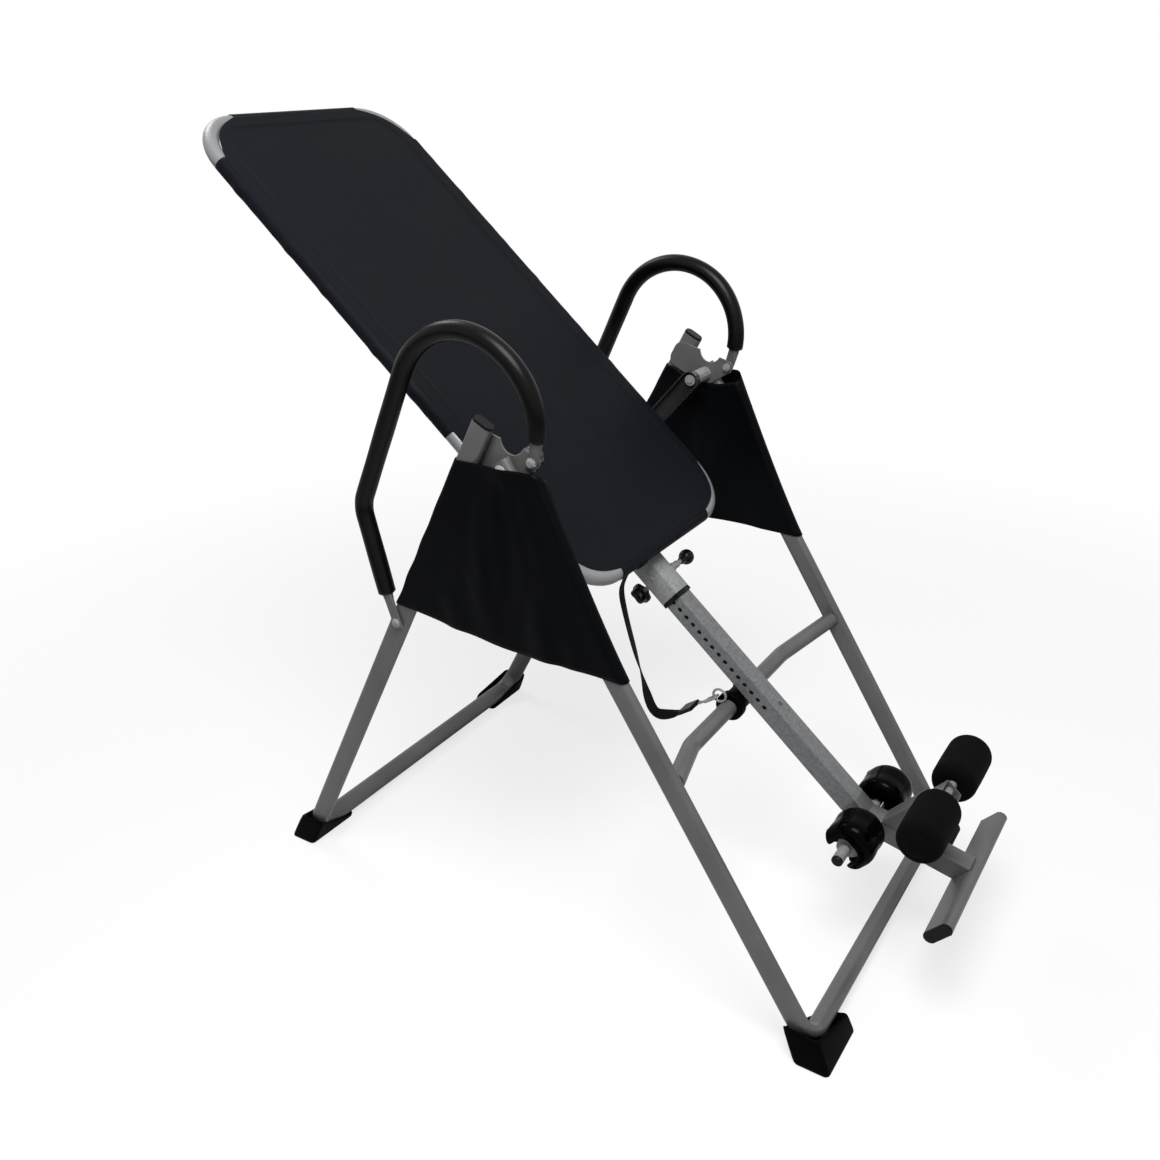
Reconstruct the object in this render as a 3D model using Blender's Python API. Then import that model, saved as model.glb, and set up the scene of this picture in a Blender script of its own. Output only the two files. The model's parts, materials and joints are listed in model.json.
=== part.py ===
"""Folding inversion table: a steel A-frame that carries a tilting fabric bed on two pivot arms.

Metres, +Z up. X runs across the table, the feet end is at -Y and the head end at +Y. The origin lies on the
floor, midway between the two ends of the table.
"""

import math

import bmesh
import bpy
import numpy as np
from mathutils import Matrix, Vector

for left_over in list(bpy.data.objects):
    bpy.data.objects.remove(left_over, do_unlink=True)

# Fits between pieces
GAP = 0.0003
RUNNING_GAP = 0.0005

# A-frame of two bent U tubes
LEG_SPACING = 0.670
PIVOT_HEIGHT = 0.886
PIVOT_Y = 0.000
FLOOR_TUBE_HEIGHT = 0.025
REAR_REACH = 0.538
FRONT_REACH = 0.538
REAR_LEG_BEHIND_PIVOT = 0.06197
REAR_LEG_OVER_PIVOT = 0.0426
FRONT_LEG_OVER_PIVOT = 0.015
LEG_TUBE_LONG = 0.038
LEG_TUBE_SHORT = 0.020
LEG_TUBE_WALL = 0.0015
LEG_CORNER_RADIUS = 0.040
LEG_PLUG_HEIGHT = 0.004
LEG_PLUG_DEPTH = 0.015

# Rubber feet on the four floor corners
FOOT_HEIGHT = 0.050
FOOT_INNER_HEIGHT = 0.036
FOOT_OUTER_SIDE = 0.026
FOOT_INNER_SIDE = 0.064
FOOT_TOE = 0.046
FOOT_HEEL = 0.034
FOOT_TAPER = 0.012

# Hinge brackets at the top of the legs
BRACKET_WALL = 0.003
BRACKET_PIVOT_RADIUS = 0.023
BRACKET_TAB_RADIUS = 0.0115
BRACKET_LEG_SPAN = 0.016
BRACKET_NOTCH_RADIUS = 0.022
BRACKET_NOTCH_FROM_PIVOT = (-0.010, 0.044)
PIVOT_BOLT_RADIUS = 0.006
PIVOT_BOLT_HEAD = 0.0115
SMALL_BOLT_RADIUS = 0.004
SMALL_BOLT_HEAD = 0.009
BOLT_HEAD_HEIGHT = 0.005
NUT_HEIGHT = 0.006

# Handles, with a foam grip on each
HANDLE_RADIUS = 0.010
HANDLE_WALL = 0.0015
HANDLE_FLAT_WIDTH = 0.0195
HANDLE_FLAT_THICK = 0.005
HANDLE_FLAT_LENGTH = 0.050
HANDLE_PRESS_LENGTH = 0.020
HANDLE_JOGGLE_LENGTH = 0.170
HANDLE_BOLT_BELOW_PIVOT = 0.3864
HANDLE_BOLT_FROM_END = 0.010
HANDLE_BEND_FROM_PIVOT = (0.302, -0.110)
HANDLE_BEND_RADIUS = 0.050
HANDLE_ARC_FROM_PIVOT = (0.069, 0.074)
HANDLE_ARC_RADIUS = 0.1285
HANDLE_ARC_START = math.radians(27.0)
HANDLE_ARC_END = math.radians(201.0)
HANDLE_TAIL = 0.022
GRIP_WALL = 0.0032
GRIP_FROM_REAR_END = 0.060
GRIP_FROM_FRONT_END = 0.044

# Cloth covers round the legs
COVER_WALL = 0.0015
COVER_ROOM = 0.0008
COVER_BELOW_BRACKET = 0.006
COVER_REAR_LENGTH = 0.225
COVER_FRONT_LENGTH = 0.274
COVER_FOLDS = 3
COVER_FOLD_DEPTH = 0.007

# Cross brace between the front legs, and the bumper that the boom rests on
BRACE_RADIUS = 0.015
BRACE_WALL = 0.0015
BRACE_END_ON_LEG = 0.547
BRACE_STRAIGHT = 0.185
BRACE_BEND_RADIUS = 0.060
BRACE_UNDER_BOOM_AT = -0.508
BUMPER_WALL = 0.006
BUMPER_ROUND = 0.003
BUMPER_LENGTH = 0.086
RING_RADIUS = 0.012
RING_WIRE = 0.0022

# Bed: a tube frame with a stretched cover, hung below the pivot
BED_ANGLE = math.radians(41.5)
BED_DROP = 0.111
BED_TUBE_RADIUS = 0.014
BED_TUBE_WALL = 0.0015
BED_HALF_WIDTH = 0.241
BED_HEAD = 0.836
BED_FOOT = -0.208
BED_CORNER_RADIUS = 0.085
BED_SPIGOT_LENGTH = 0.050
BED_SHOULDER = 0.0005
CROSSBARS_AT = (0.300, -0.110)
CROSSBAR_TALL = 0.040
CROSSBAR_THICK = 0.020
CLOTH_WALL = 0.0016
CLOTH_CORNER = 0.088
CLOTH_FOOT_CORNER = 0.088
CLOTH_NOTCH_HEAD = 0.125
CLOTH_NOTCH_FOOT = -0.070
CLOTH_NOTCH_DEPTH = 0.030
CLOTH_HEM_ANGLE = math.radians(240.0)
CLOTH_HEM_STEPS = 12
CLOTH_GAP_AT_SLEEVE = 0.035

# Pivot arms: pressed channels from the bed tubes up to the pivot bolts
ARM_THICK = 0.012
ARM_WALL = 0.003
ARM_HALF_WIDTH = 0.018
ARM_BELOW_TUBE = 0.030
BUSHING_RADIUS = 0.013
BUSHING_FLANGE = 0.017
BUSHING_FLANGE_THICK = 0.003

# Boom and its sleeve
BOOM_DROP = 0.1638
BOOM_SIZE = 0.038
BOOM_WALL = 0.002
BOOM_HEAD_END = 0.055
BOOM_FOOT_END = -0.768
BOOM_CORNER = 0.003
SLEEVE_WALL = 0.003
SLEEVE_FOOT_END = -0.295
SLEEVE_HEAD_END = 0.335
SLEEVE_CORNER = 0.005
COLLAR_LENGTH = 0.008
HOLE_RADIUS = 0.0047
HOLE_PITCH = 0.0174
HOLE_COUNT = 20
LAST_HOLE_AT = -0.5476

# Boom lock: spring pin on the left side, star knob underneath
PIN_AT = LAST_HOLE_AT + 17 * HOLE_PITCH
PIN_RADIUS = 0.0042
PIN_REACH = 0.102
PIN_BALL_RADIUS = 0.0145
PIN_HOUSING_RADIUS = 0.0085
PIN_HOUSING_LENGTH = 0.026
KNOB_STEM_RADIUS = 0.004
KNOB_STEM_LENGTH = 0.028
KNOB_RADIUS = 0.020
KNOB_LOBE_DEPTH = 0.0035
KNOB_LOBES = 5
KNOB_THICK = 0.018

# Foot end of the boom
POST_ELBOW_AT = -0.802
POST_RISE = math.radians(28.0)
FOOT_BAR_AT = -0.9725
FOOT_BAR_DROP = 0.081
FOOT_BAR_TALL = 0.055
FOOT_BAR_THICK = 0.022
FOOT_BAR_WALL = 0.0015
FOOT_BAR_HALF = 0.166
FOOT_BAR_PLUG = 0.0035

# Heel rod, plates and cups
HEEL_ROD_AT = -0.806
HEEL_ROD_RADIUS = 0.010
HEEL_ROD_WALL = 0.002
HEEL_ROD_HALF = 0.138
HEEL_CUP_X = 0.071
HEEL_CUP_HALF = 0.034
HEEL_CUP_LIFT = 0.010
HEEL_CUP_RADIUS = 0.042
HEEL_CUP_WALL = 0.020
HEEL_CUP_SKIRT = 0.022
HEEL_CUP_WAIST = 0.005
HEEL_PLATE_THICK = 0.003

# Ankle clamp: a post with two foam rollers that slides in a socket
CLAMP_AT = -0.841
SOCKET_TOP = -0.046
SOCKET_WALL = 0.003
CLAMP_POST_SIZE = 0.034
CLAMP_POST_WALL = 0.002
CLAMP_POST_FOOT = -0.096
AXLE_HEIGHT = -0.010
AXLE_RADIUS = 0.008
AXLE_HALF = 0.152
ROLLER_INNER_END = 0.032
ROLLER_LENGTH = 0.116
ROLLER_RADIUS = 0.0375
ROLLER_ROUND = 0.012
LEVER_HEIGHT = -0.084
LEVER_WIRE = 0.0035
LEVER_OUT = 0.024
LEVER_RISE = -0.022

# Tether strap with slider and snap hook
STRAP_WIDTH = 0.022
STRAP_THICK = 0.002
STRAP_X = -0.052
STRAP_ROUTE = (
    (-0.0560, 0.6190),
    (-0.0470, 0.5900),
    (-0.0510, 0.5450),
    (-0.0640, 0.4800),
    (-0.0800, 0.4150),
    (-0.0920, 0.3650),
    (-0.1050, 0.3470),
    (-0.1250, 0.3500),
    (-0.1500, 0.3640),
)
STRAP_TWIST = math.radians(70.0)
SLIDER_LENGTH = 0.030
SLIDER_WIDTH = 0.034
SLIDER_THICK = 0.007
HOOK_WIRE = 0.0021
HOOK_WIDTH = 0.016
HOOK_NECK = 0.012
HOOK_LENGTH = 0.042

# Facets
OVAL_SIDES = 12
ROUND_SIDES = 12
BEND_STEPS = 4
BOLT_SIDES = 10

# Sizes that follow from the ones above
LEG_X = LEG_SPACING / 2
LEG_OUTER_X = LEG_X + LEG_TUBE_SHORT / 2
LEG_INNER_X = LEG_X - LEG_TUBE_SHORT / 2
BRACKET_INNER_X = LEG_INNER_X - GAP - BRACKET_WALL
RISE_TO_PIVOT = PIVOT_HEIGHT - FLOOR_TUBE_HEIGHT
FRONT_LEAN = math.atan2(PIVOT_Y + FRONT_REACH, RISE_TO_PIVOT)
REAR_TO_PIVOT = math.hypot(REAR_REACH - PIVOT_Y, RISE_TO_PIVOT)
REAR_SWING = math.asin(REAR_LEG_BEHIND_PIVOT / REAR_TO_PIVOT)
REAR_LEAN = math.atan2(REAR_REACH - PIVOT_Y, RISE_TO_PIVOT) - REAR_SWING
FRONT_LEG_LENGTH = math.hypot(PIVOT_Y + FRONT_REACH, RISE_TO_PIVOT)
COVER_TOP_HEIGHT = PIVOT_HEIGHT - BRACKET_PIVOT_RADIUS - COVER_BELOW_BRACKET
CLOTH_HEM_RADIUS = (BED_TUBE_RADIUS + GAP) / math.cos(CLOTH_HEM_ANGLE / CLOTH_HEM_STEPS / 2)
SLEEVE_SIZE = BOOM_SIZE + 2 * (RUNNING_GAP + SLEEVE_WALL)
BOOM_Q = -BOOM_DROP
BOOM_BOTTOM = BOOM_Q - BOOM_SIZE / 2
SLEEVE_BOTTOM = BOOM_Q - SLEEVE_SIZE / 2
ARM_INNER_X = BED_HALF_WIDTH + BED_TUBE_RADIUS + GAP
ARM_OUTER_X = ARM_INNER_X + ARM_THICK
POST_END_AT = FOOT_BAR_AT + FOOT_BAR_THICK / 2 + GAP
SIDES = (("L", 1), ("R", -1))


def turn_x(angle):
    """The 3 by 3 matrix that turns about X."""
    return np.array(Matrix.Rotation(angle, 3, "X"))


def material(name, colour, roughness, metallic):
    made = bpy.data.materials.new(name)
    made.use_nodes = True
    shader = made.node_tree.nodes["Principled BSDF"]
    shader.inputs["Base Color"].default_value = (*colour, 1.0)
    shader.inputs["Roughness"].default_value = roughness
    shader.inputs["Metallic"].default_value = metallic
    return made


PAINT = material("grey_painted_steel", (0.36, 0.37, 0.38), 0.45, 0.6)
ZINC = material("zinc_plated_steel", (0.55, 0.56, 0.57), 0.40, 0.9)
BLACK_STEEL = material("black_painted_steel", (0.02, 0.02, 0.022), 0.35, 0.3)
RUBBER = material("black_rubber", (0.015, 0.015, 0.016), 0.60, 0.0)
PLASTIC = material("black_plastic", (0.02, 0.02, 0.021), 0.35, 0.0)
FOAM = material("black_foam", (0.014, 0.014, 0.015), 0.80, 0.0)
GRIP_FOAM = material("black_grip_foam", (0.012, 0.012, 0.013), 0.40, 0.0)
CLOTH = material("black_nylon_cloth", (0.018, 0.019, 0.024), 0.70, 0.0)
WEBBING = material("black_webbing", (0.015, 0.015, 0.016), 0.75, 0.0)


def axis_frame(name, y, z, tilt=0.0, x=0.0):
    """An empty that carries pieces: its place is on their joint's axis, its tilt turns them about X."""
    frame = bpy.data.objects.new(name, None)
    frame.location = (x, y, z)
    frame.rotation_euler = (tilt, 0.0, 0.0)
    bpy.context.scene.collection.objects.link(frame)
    return frame


def bed_to_world(t, q):
    """World Y and Z of a point at t along the bed and q out of it, both measured from the pivot."""
    y = PIVOT_Y + t * math.cos(BED_ANGLE) - q * math.sin(BED_ANGLE)
    z = PIVOT_HEIGHT + t * math.sin(BED_ANGLE) + q * math.cos(BED_ANGLE)
    return y, z


def add(name, skin, finish, frame, crease=35.0):
    """A mesh object from points and faces, with its faces turned outwards and its round parts shaded smooth."""
    points, faces = skin
    mesh = bpy.data.meshes.new(name)
    mesh.from_pydata([tuple(p) for p in points], [], faces)
    shaped = bmesh.new()
    shaped.from_mesh(mesh)
    bmesh.ops.recalc_face_normals(shaped, faces=shaped.faces)
    shaped.to_mesh(mesh)
    shaped.free()
    mesh.shade_smooth()
    mesh.set_sharp_from_angle(angle=math.radians(crease))
    if finish:
        mesh.materials.append(finish)
    made = bpy.data.objects.new(name, mesh)
    made.parent = frame
    bpy.context.scene.collection.objects.link(made)
    return made


def cut(piece, skin, frame, label):
    """Takes a closed shape out of a piece."""
    cutter = add(f"cutter_{piece.name}_{label}", skin, None, frame)
    cutter.hide_render = True
    cutter.display_type = "WIRE"
    boolean = piece.modifiers.new(label, "BOOLEAN")
    boolean.operation = "DIFFERENCE"
    boolean.object = cutter


def loft(loops, ring=False):
    """Quads through equal loops of points. A ring joins the last loop to the first, and else both ends are capped."""
    loops = np.asarray(loops, float)
    count, sides = loops.shape[:2]
    faces = []
    for i in range(count if ring else count - 1):
        here, there = i * sides, (i + 1) % count * sides
        for j in range(sides):
            k = (j + 1) % sides
            faces.append((here + j, here + k, there + k, there + j))
    if not ring:
        faces.append(tuple(range(sides)))
        faces.append(tuple(range((count - 1) * sides, count * sides)))
    return loops.reshape(-1, 3), faces


def joined(*skins):
    """Several closed skins as one list of points and faces, for a cutter that cuts in many places."""
    points, faces, start = [], [], 0
    for some_points, some_faces in skins:
        points.append(some_points)
        faces += [tuple(start + i for i in face) for face in some_faces]
        start += len(some_points)
    return np.concatenate(points), faces


def circle(radius, sides=ROUND_SIDES):
    turn = (np.arange(sides) + 0.5) * 2 * math.pi / sides
    return radius * np.stack([np.cos(turn), np.sin(turn)], 1)


def flat_oval(wide, tall, sides=OVAL_SIDES):
    """Two half circles joined by straight sides, the longer way along the greater of the two sizes."""
    radius = min(wide, tall) / 2
    outline = circle(radius / math.cos(math.pi / sides), sides)
    spread = np.array([wide / 2 - radius, tall / 2 - radius])
    return outline + np.sign(outline) * spread


def soft_square(size, corner, steps=2):
    """A square with rounded corners."""
    turn = np.linspace(0, math.pi / 2, steps + 1)
    quarter = corner * np.stack([np.cos(turn), np.sin(turn)], 1) + (size / 2 - corner)
    outline = []
    for i in range(4):
        c, s = math.cos(i * math.pi / 2), math.sin(i * math.pi / 2)
        outline.append(quarter @ np.array([[c, s], [-s, c]]))
    return np.concatenate(outline)


def hull(circles, sides):
    """The outline of a band drawn tight round circles, each given as two coordinates and a radius."""
    circles = np.asarray(circles, float)
    outline = []
    for turn in (np.arange(sides) + 0.5) * 2 * math.pi / sides:
        way = np.array([math.cos(turn), math.sin(turn)])
        far = np.argmax(circles[:, :2] @ way + circles[:, 2])
        outline.append(circles[far, :2] + circles[far, 2] * way)
    return np.array(outline)


def round_corners(points, radius, steps=BEND_STEPS):
    """A line through the points, each inner corner replaced by an arc."""
    points = np.asarray(points, float)
    path = [points[0]]
    for before, corner, after in zip(points[:-2], points[1:-1], points[2:]):
        back = (before - corner) / np.linalg.norm(before - corner)
        on = (after - corner) / np.linalg.norm(after - corner)
        half = math.acos(np.clip(back @ on, -1, 1)) / 2
        middle = (back + on) / np.linalg.norm(back + on)
        centre = corner + middle * radius / math.sin(half)
        start = corner + back * radius / math.tan(half) - centre
        end = corner + on * radius / math.tan(half) - centre
        sweep_angle = math.pi - 2 * half
        for share in np.linspace(0, 1, steps + 1):
            near = math.sin((1 - share) * sweep_angle) / math.sin(sweep_angle)
            far = math.sin(share * sweep_angle) / math.sin(sweep_angle)
            path.append(centre + near * start + far * end)
    path.append(points[-1])
    return np.array(path)


def carried(path, normal, outlines):
    """Loops of an outline carried along a flat path. An outline's first axis lies in the path's plane, its second
    along the plane's normal. There is one outline for all points, or one each."""
    path = np.asarray(path, float)
    normal = np.asarray(normal, float)
    outlines = np.broadcast_to(outlines, (len(path), *np.shape(outlines)[-2:]))
    ways = np.diff(path, axis=0)
    ways /= np.linalg.norm(ways, axis=1)[:, None]
    sides = np.cross(normal, ways)
    before = np.concatenate([sides[:1], sides])
    after = np.concatenate([sides, sides[-1:]])
    mitre = before + after
    mitre *= 2 / np.sum(mitre * mitre, axis=1)[:, None]
    return path[:, None] + outlines[..., :1] * mitre[:, None] + outlines[..., 1:] * normal


def bar(path, normal, outline):
    return loft(carried(path, normal, outline))


def tube(path, normal, outer, inner):
    """A hollow bar, open at both ends."""
    outside = carried(path, normal, outer)
    inside = carried(path, normal, inner)
    return loft(np.concatenate([outside, inside[::-1]]), ring=True)


def turned(profile, centre, axis, sides=BOLT_SIDES, ring=False):
    """A turned shape. The profile lists a radius and a distance along the axis for each point."""
    axis = np.asarray(axis, float)
    across = np.array([0.0, 1.0, 0.0]) if abs(axis[0]) > 0.5 else np.array([1.0, 0.0, 0.0])
    beside = np.cross(axis, across)
    round_way = circle(1.0, sides)
    spokes = round_way[:, :1] * across + round_way[:, 1:] * beside
    loops = [np.asarray(centre) + axis * along + spokes * radius for radius, along in profile]
    return loft(loops, ring)


def rod_x(radius, y, z, x_from, x_to, sides=BOLT_SIDES):
    return turned([(radius, x_from), (radius, x_to)], (0, y, z), (1, 0, 0), sides)


def plate_x(outline, x_from, x_to):
    """A flat outline in Y and Z made into a plate across X."""
    outline = np.asarray(outline, float)
    return loft([np.column_stack([np.full(len(outline), x), outline]) for x in (x_from, x_to)])


def box(low, high):
    (x0, y0, z0), (x1, y1, z1) = low, high
    floor_loop = [(x0, y0), (x1, y0), (x1, y1), (x0, y1)]
    return loft([[(x, y, z) for x, y in floor_loop] for z in (z0, z1)])


def bolt_along_x(side, y, z, radius, head_radius, head_x, nut_x):
    """A dome-headed bolt seated at head_x on the outer side, with its nut seated at nut_x on the inner side."""
    nut_radius = radius * 1.8
    profile = [
        (head_radius * 0.55, head_x + BOLT_HEAD_HEIGHT),
        (head_radius * 0.88, head_x + BOLT_HEAD_HEIGHT * 0.6),
        (head_radius, head_x + GAP),
        (radius, head_x + GAP),
        (radius, nut_x - GAP),
        (nut_radius, nut_x - GAP),
        (nut_radius, nut_x - GAP - NUT_HEIGHT),
        (radius, nut_x - GAP - NUT_HEIGHT),
        (radius * 0.9, nut_x - GAP - NUT_HEIGHT - 0.002),
    ]
    return turned(profile, (0, y, z), (side, 0, 0))


# Frames that carry the pieces
world = axis_frame("floor_frame", 0.0, 0.0)
rear = axis_frame("rear_leg_frame", REAR_REACH, FLOOR_TUBE_HEIGHT, REAR_LEAN)
fold = axis_frame("fold_axis", PIVOT_Y, PIVOT_HEIGHT, -FRONT_LEAN)
pivot = axis_frame("pivot_axis", PIVOT_Y, PIVOT_HEIGHT)
tilt = axis_frame("bed_tilt_axis", PIVOT_Y, PIVOT_HEIGHT, BED_ANGLE)
slide = axis_frame("boom_slide_axis", PIVOT_Y, PIVOT_HEIGHT, BED_ANGLE)
clamp = axis_frame("ankle_clamp_axis", *bed_to_world(CLAMP_AT, 0.0), BED_ANGLE)
axle = axis_frame("roller_axis", *bed_to_world(CLAMP_AT, AXLE_HEIGHT), BED_ANGLE)
pin_line = axis_frame("pull_pin_axis", *bed_to_world(PIN_AT, BOOM_Q), BED_ANGLE)
knob_line = axis_frame("lock_knob_axis", *bed_to_world(PIN_AT, BOOM_BOTTOM), BED_ANGLE)
lever_line = axis_frame("ankle_lever_axis", *bed_to_world(CLAMP_AT, LEVER_HEIGHT), BED_ANGLE)

# Places that several pieces share, in world Y and Z
REAR_UP = turn_x(REAR_LEAN)[1:, 2]
REAR_BACK = turn_x(REAR_LEAN)[1:, 1]
FRONT_UP = turn_x(-FRONT_LEAN)[1:, 2]
REAR_CORNER = np.array([REAR_REACH, FLOOR_TUBE_HEIGHT])
PIVOT = np.array([PIVOT_Y, PIVOT_HEIGHT])
PIVOT_TO_LEG = float((REAR_CORNER - PIVOT) @ REAR_BACK)
PIVOT_ALONG_LEG = float((PIVOT - REAR_CORNER) @ REAR_UP)
REAR_LEG_LENGTH = PIVOT_ALONG_LEG + REAR_LEG_OVER_PIVOT
HANDLE_REAR_BOLT = REAR_CORNER + REAR_UP * (PIVOT_ALONG_LEG - HANDLE_BOLT_BELOW_PIVOT)
HANDLE_BEND = PIVOT + np.array(HANDLE_BEND_FROM_PIVOT)
HANDLE_ARC_CENTRE = PIVOT + np.array(HANDLE_ARC_FROM_PIVOT)
LEG_OVAL = flat_oval(LEG_TUBE_SHORT, LEG_TUBE_LONG)
LEG_BORE = flat_oval(LEG_TUBE_SHORT - 2 * LEG_TUBE_WALL, LEG_TUBE_LONG - 2 * LEG_TUBE_WALL)
LEG_SOCKET = flat_oval(LEG_TUBE_SHORT + 2 * GAP, LEG_TUBE_LONG + 2 * GAP)
FRAME_NORMAL = (0, 1, 0)


def u_path(top, bottom):
    """Centre line of a U tube: down one leg, across the floor and up the other leg."""
    corners = [(-LEG_X, 0, top), (-LEG_X, 0, bottom), (LEG_X, 0, bottom), (LEG_X, 0, top)]
    return round_corners(corners, LEG_CORNER_RADIUS)


REAR_PATH = u_path(REAR_LEG_LENGTH, 0.0)
FRONT_PATH = u_path(FRONT_LEG_OVER_PIVOT, -FRONT_LEG_LENGTH)


def handle_path(side):
    """Centre line of a handle, and the distance along it to each point. It starts at the flat rear end on the leg's
    outer face, joggles in behind the leg, and runs by the lower bend and the big arc to the bracket's outer face."""
    press_start = HANDLE_ARC_END - HANDLE_PRESS_LENGTH / HANDLE_ARC_RADIUS
    turn = np.append(np.linspace(HANDLE_ARC_START, press_start, 11), HANDLE_ARC_END)
    arc = HANDLE_ARC_CENTRE + HANDLE_ARC_RADIUS * np.stack([np.cos(turn), np.sin(turn)], 1)
    out_way = np.array([-math.sin(HANDLE_ARC_END), math.cos(HANDLE_ARC_END)])
    tail_end = arc[-1] + out_way * HANDLE_TAIL
    lower_way = HANDLE_BEND - HANDLE_REAR_BOLT
    lower_way /= np.linalg.norm(lower_way)
    start = HANDLE_REAR_BOLT - lower_way * HANDLE_BOLT_FROM_END
    bend = round_corners([start, HANDLE_BEND, arc[0]], HANDLE_BEND_RADIUS, 3)
    pressed = [start + lower_way * (HANDLE_FLAT_LENGTH + add_on) for add_on in (0.0, HANDLE_PRESS_LENGTH)]
    line = np.array([bend[0], *pressed, *bend[1:-1], *arc, tail_end])
    gone = np.concatenate([[0.0], np.cumsum(np.linalg.norm(np.diff(line, axis=0), axis=1))])
    outside = LEG_TUBE_SHORT / 2 + GAP + HANDLE_FLAT_THICK / 2
    joggle = outside * np.clip(1 - (gone - HANDLE_FLAT_LENGTH) / HANDLE_JOGGLE_LENGTH, 0, 1)
    to_bracket = LEG_TUBE_SHORT / 2 - HANDLE_FLAT_THICK / 2
    before_flat = gone[-1] - gone - HANDLE_TAIL
    inward = to_bracket * np.clip(1 - before_flat / HANDLE_JOGGLE_LENGTH, 0, 1)
    return np.column_stack([side * (LEG_X + joggle - inward), line]), gone


def handle_front_bolt():
    line, _ = handle_path(1)
    way = (line[-1] - line[-2]) / np.linalg.norm(line[-1] - line[-2])
    return (line[-1] - way * HANDLE_BOLT_FROM_END)[1:]


HANDLE_FRONT_BOLT = handle_front_bolt()


def rear_frame():
    frame = add("rear_frame", tube(REAR_PATH, FRAME_NORMAL, LEG_OVAL, LEG_BORE), PAINT, rear)
    bolt_up = PIVOT_ALONG_LEG - HANDLE_BOLT_BELOW_PIVOT
    bolt_hole = rod_x(SMALL_BOLT_RADIUS + GAP, 0, bolt_up, -1.2 * LEG_X, 1.2 * LEG_X)
    cut(frame, bolt_hole, rear, "handle_bolts")
    plug_fit = flat_oval(
        LEG_TUBE_SHORT - 2 * (LEG_TUBE_WALL + GAP), LEG_TUBE_LONG - 2 * (LEG_TUBE_WALL + GAP)
    )
    for label, side in SIDES:
        heights = (LEG_PLUG_HEIGHT + GAP, GAP, GAP, -LEG_PLUG_DEPTH)
        outlines = (LEG_OVAL * 0.94, LEG_OVAL, plug_fit, plug_fit)
        loops = []
        for height, outline in zip(heights, outlines):
            z = np.full(len(outline), REAR_LEG_LENGTH + height)
            loops.append(np.column_stack([outline[:, 0] + side * LEG_X, outline[:, 1], z]))
        add(f"rear_leg_plug_{label}", loft(loops), PLASTIC, rear)


def front_frame():
    frame = add("front_frame", tube(FRONT_PATH, FRAME_NORMAL, LEG_OVAL, LEG_BORE), PAINT, fold)
    bolt_hole = rod_x(PIVOT_BOLT_RADIUS + RUNNING_GAP, 0, 0, -1.2 * LEG_X, 1.2 * LEG_X)
    cut(frame, bolt_hole, fold, "pivot_bolts")


def rubber_foot(name, side, outward, corner_y, frame, path):
    """A moulded boot that cups the outer and lower side of a floor corner, narrower at the floor."""
    lean = -outward * math.tan(REAR_LEAN if outward > 0 else FRONT_LEAN)
    rows = ((0.0, 0.0, FOOT_TAPER), (0.006, 0.006, 0.4 * FOOT_TAPER), (FOOT_HEIGHT, FOOT_INNER_HEIGHT, 0.0))
    loops = []
    for outer_z, inner_z, taper in rows:
        outer_x = FOOT_OUTER_SIDE - taper
        inner_x = -FOOT_INNER_SIDE + taper
        toe = outward * (FOOT_TOE - taper)
        heel = -outward * (FOOT_HEEL - taper)
        loop = []
        corners = ((outer_x, toe), (outer_x, heel), (inner_x, heel), (inner_x, toe))
        for x, y in corners:
            z = outer_z if x > 0 else inner_z
            shift = lean * max(0.0, z - FLOOR_TUBE_HEIGHT)
            loop.append((side * (LEG_X + x), corner_y + y + shift, z))
        loops.append(loop)
    foot = add(name, loft(loops), RUBBER, world)
    cut(foot, bar(path, FRAME_NORMAL, LEG_SOCKET), frame, "leg_socket")
    soften = foot.modifiers.new("soften", "BEVEL")
    soften.width = 0.003
    soften.segments = 1
    soften.limit_method = "ANGLE"
    soften.angle_limit = math.radians(50)
    foot.modifiers.move(1, 0)


def rubber_feet():
    for label, side in SIDES:
        rubber_foot(f"rear_foot_{label}", side, 1, REAR_REACH, rear, REAR_PATH)
        rubber_foot(f"front_foot_{label}", side, -1, -FRONT_REACH, fold, FRONT_PATH)


def hinge_brackets():
    """Notched plates on the inner face of each rear leg. They carry the pivot bolt and the handle's front end."""
    leg_middle = PIVOT_TO_LEG * REAR_BACK
    tab = HANDLE_FRONT_BOLT - PIVOT
    outline = hull(
        [
            (0.0, 0.0, BRACKET_PIVOT_RADIUS),
            (*tab, BRACKET_TAB_RADIUS),
            (*(leg_middle + REAR_UP * BRACKET_LEG_SPAN / 2), LEG_TUBE_LONG / 2),
            (*(leg_middle - REAR_UP * BRACKET_LEG_SPAN / 2), LEG_TUBE_LONG / 2),
        ],
        24,
    )
    for label, side in SIDES:
        ends = sorted((side * BRACKET_INNER_X, side * (BRACKET_INNER_X + BRACKET_WALL)))
        bracket = add(f"hinge_bracket_{label}", plate_x(outline, *ends), PAINT, pivot)
        through = sorted((side * 0.8 * LEG_X, side * 1.2 * LEG_X))
        cut(bracket, rod_x(BRACKET_NOTCH_RADIUS, *BRACKET_NOTCH_FROM_PIVOT, *through, 32), pivot, "notch")
        cut(bracket, rod_x(PIVOT_BOLT_RADIUS + GAP, 0, 0, *through), pivot, "pivot_bolt")
        cut(bracket, rod_x(SMALL_BOLT_RADIUS + GAP, *tab, *through), pivot, "handle_bolt")


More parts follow.
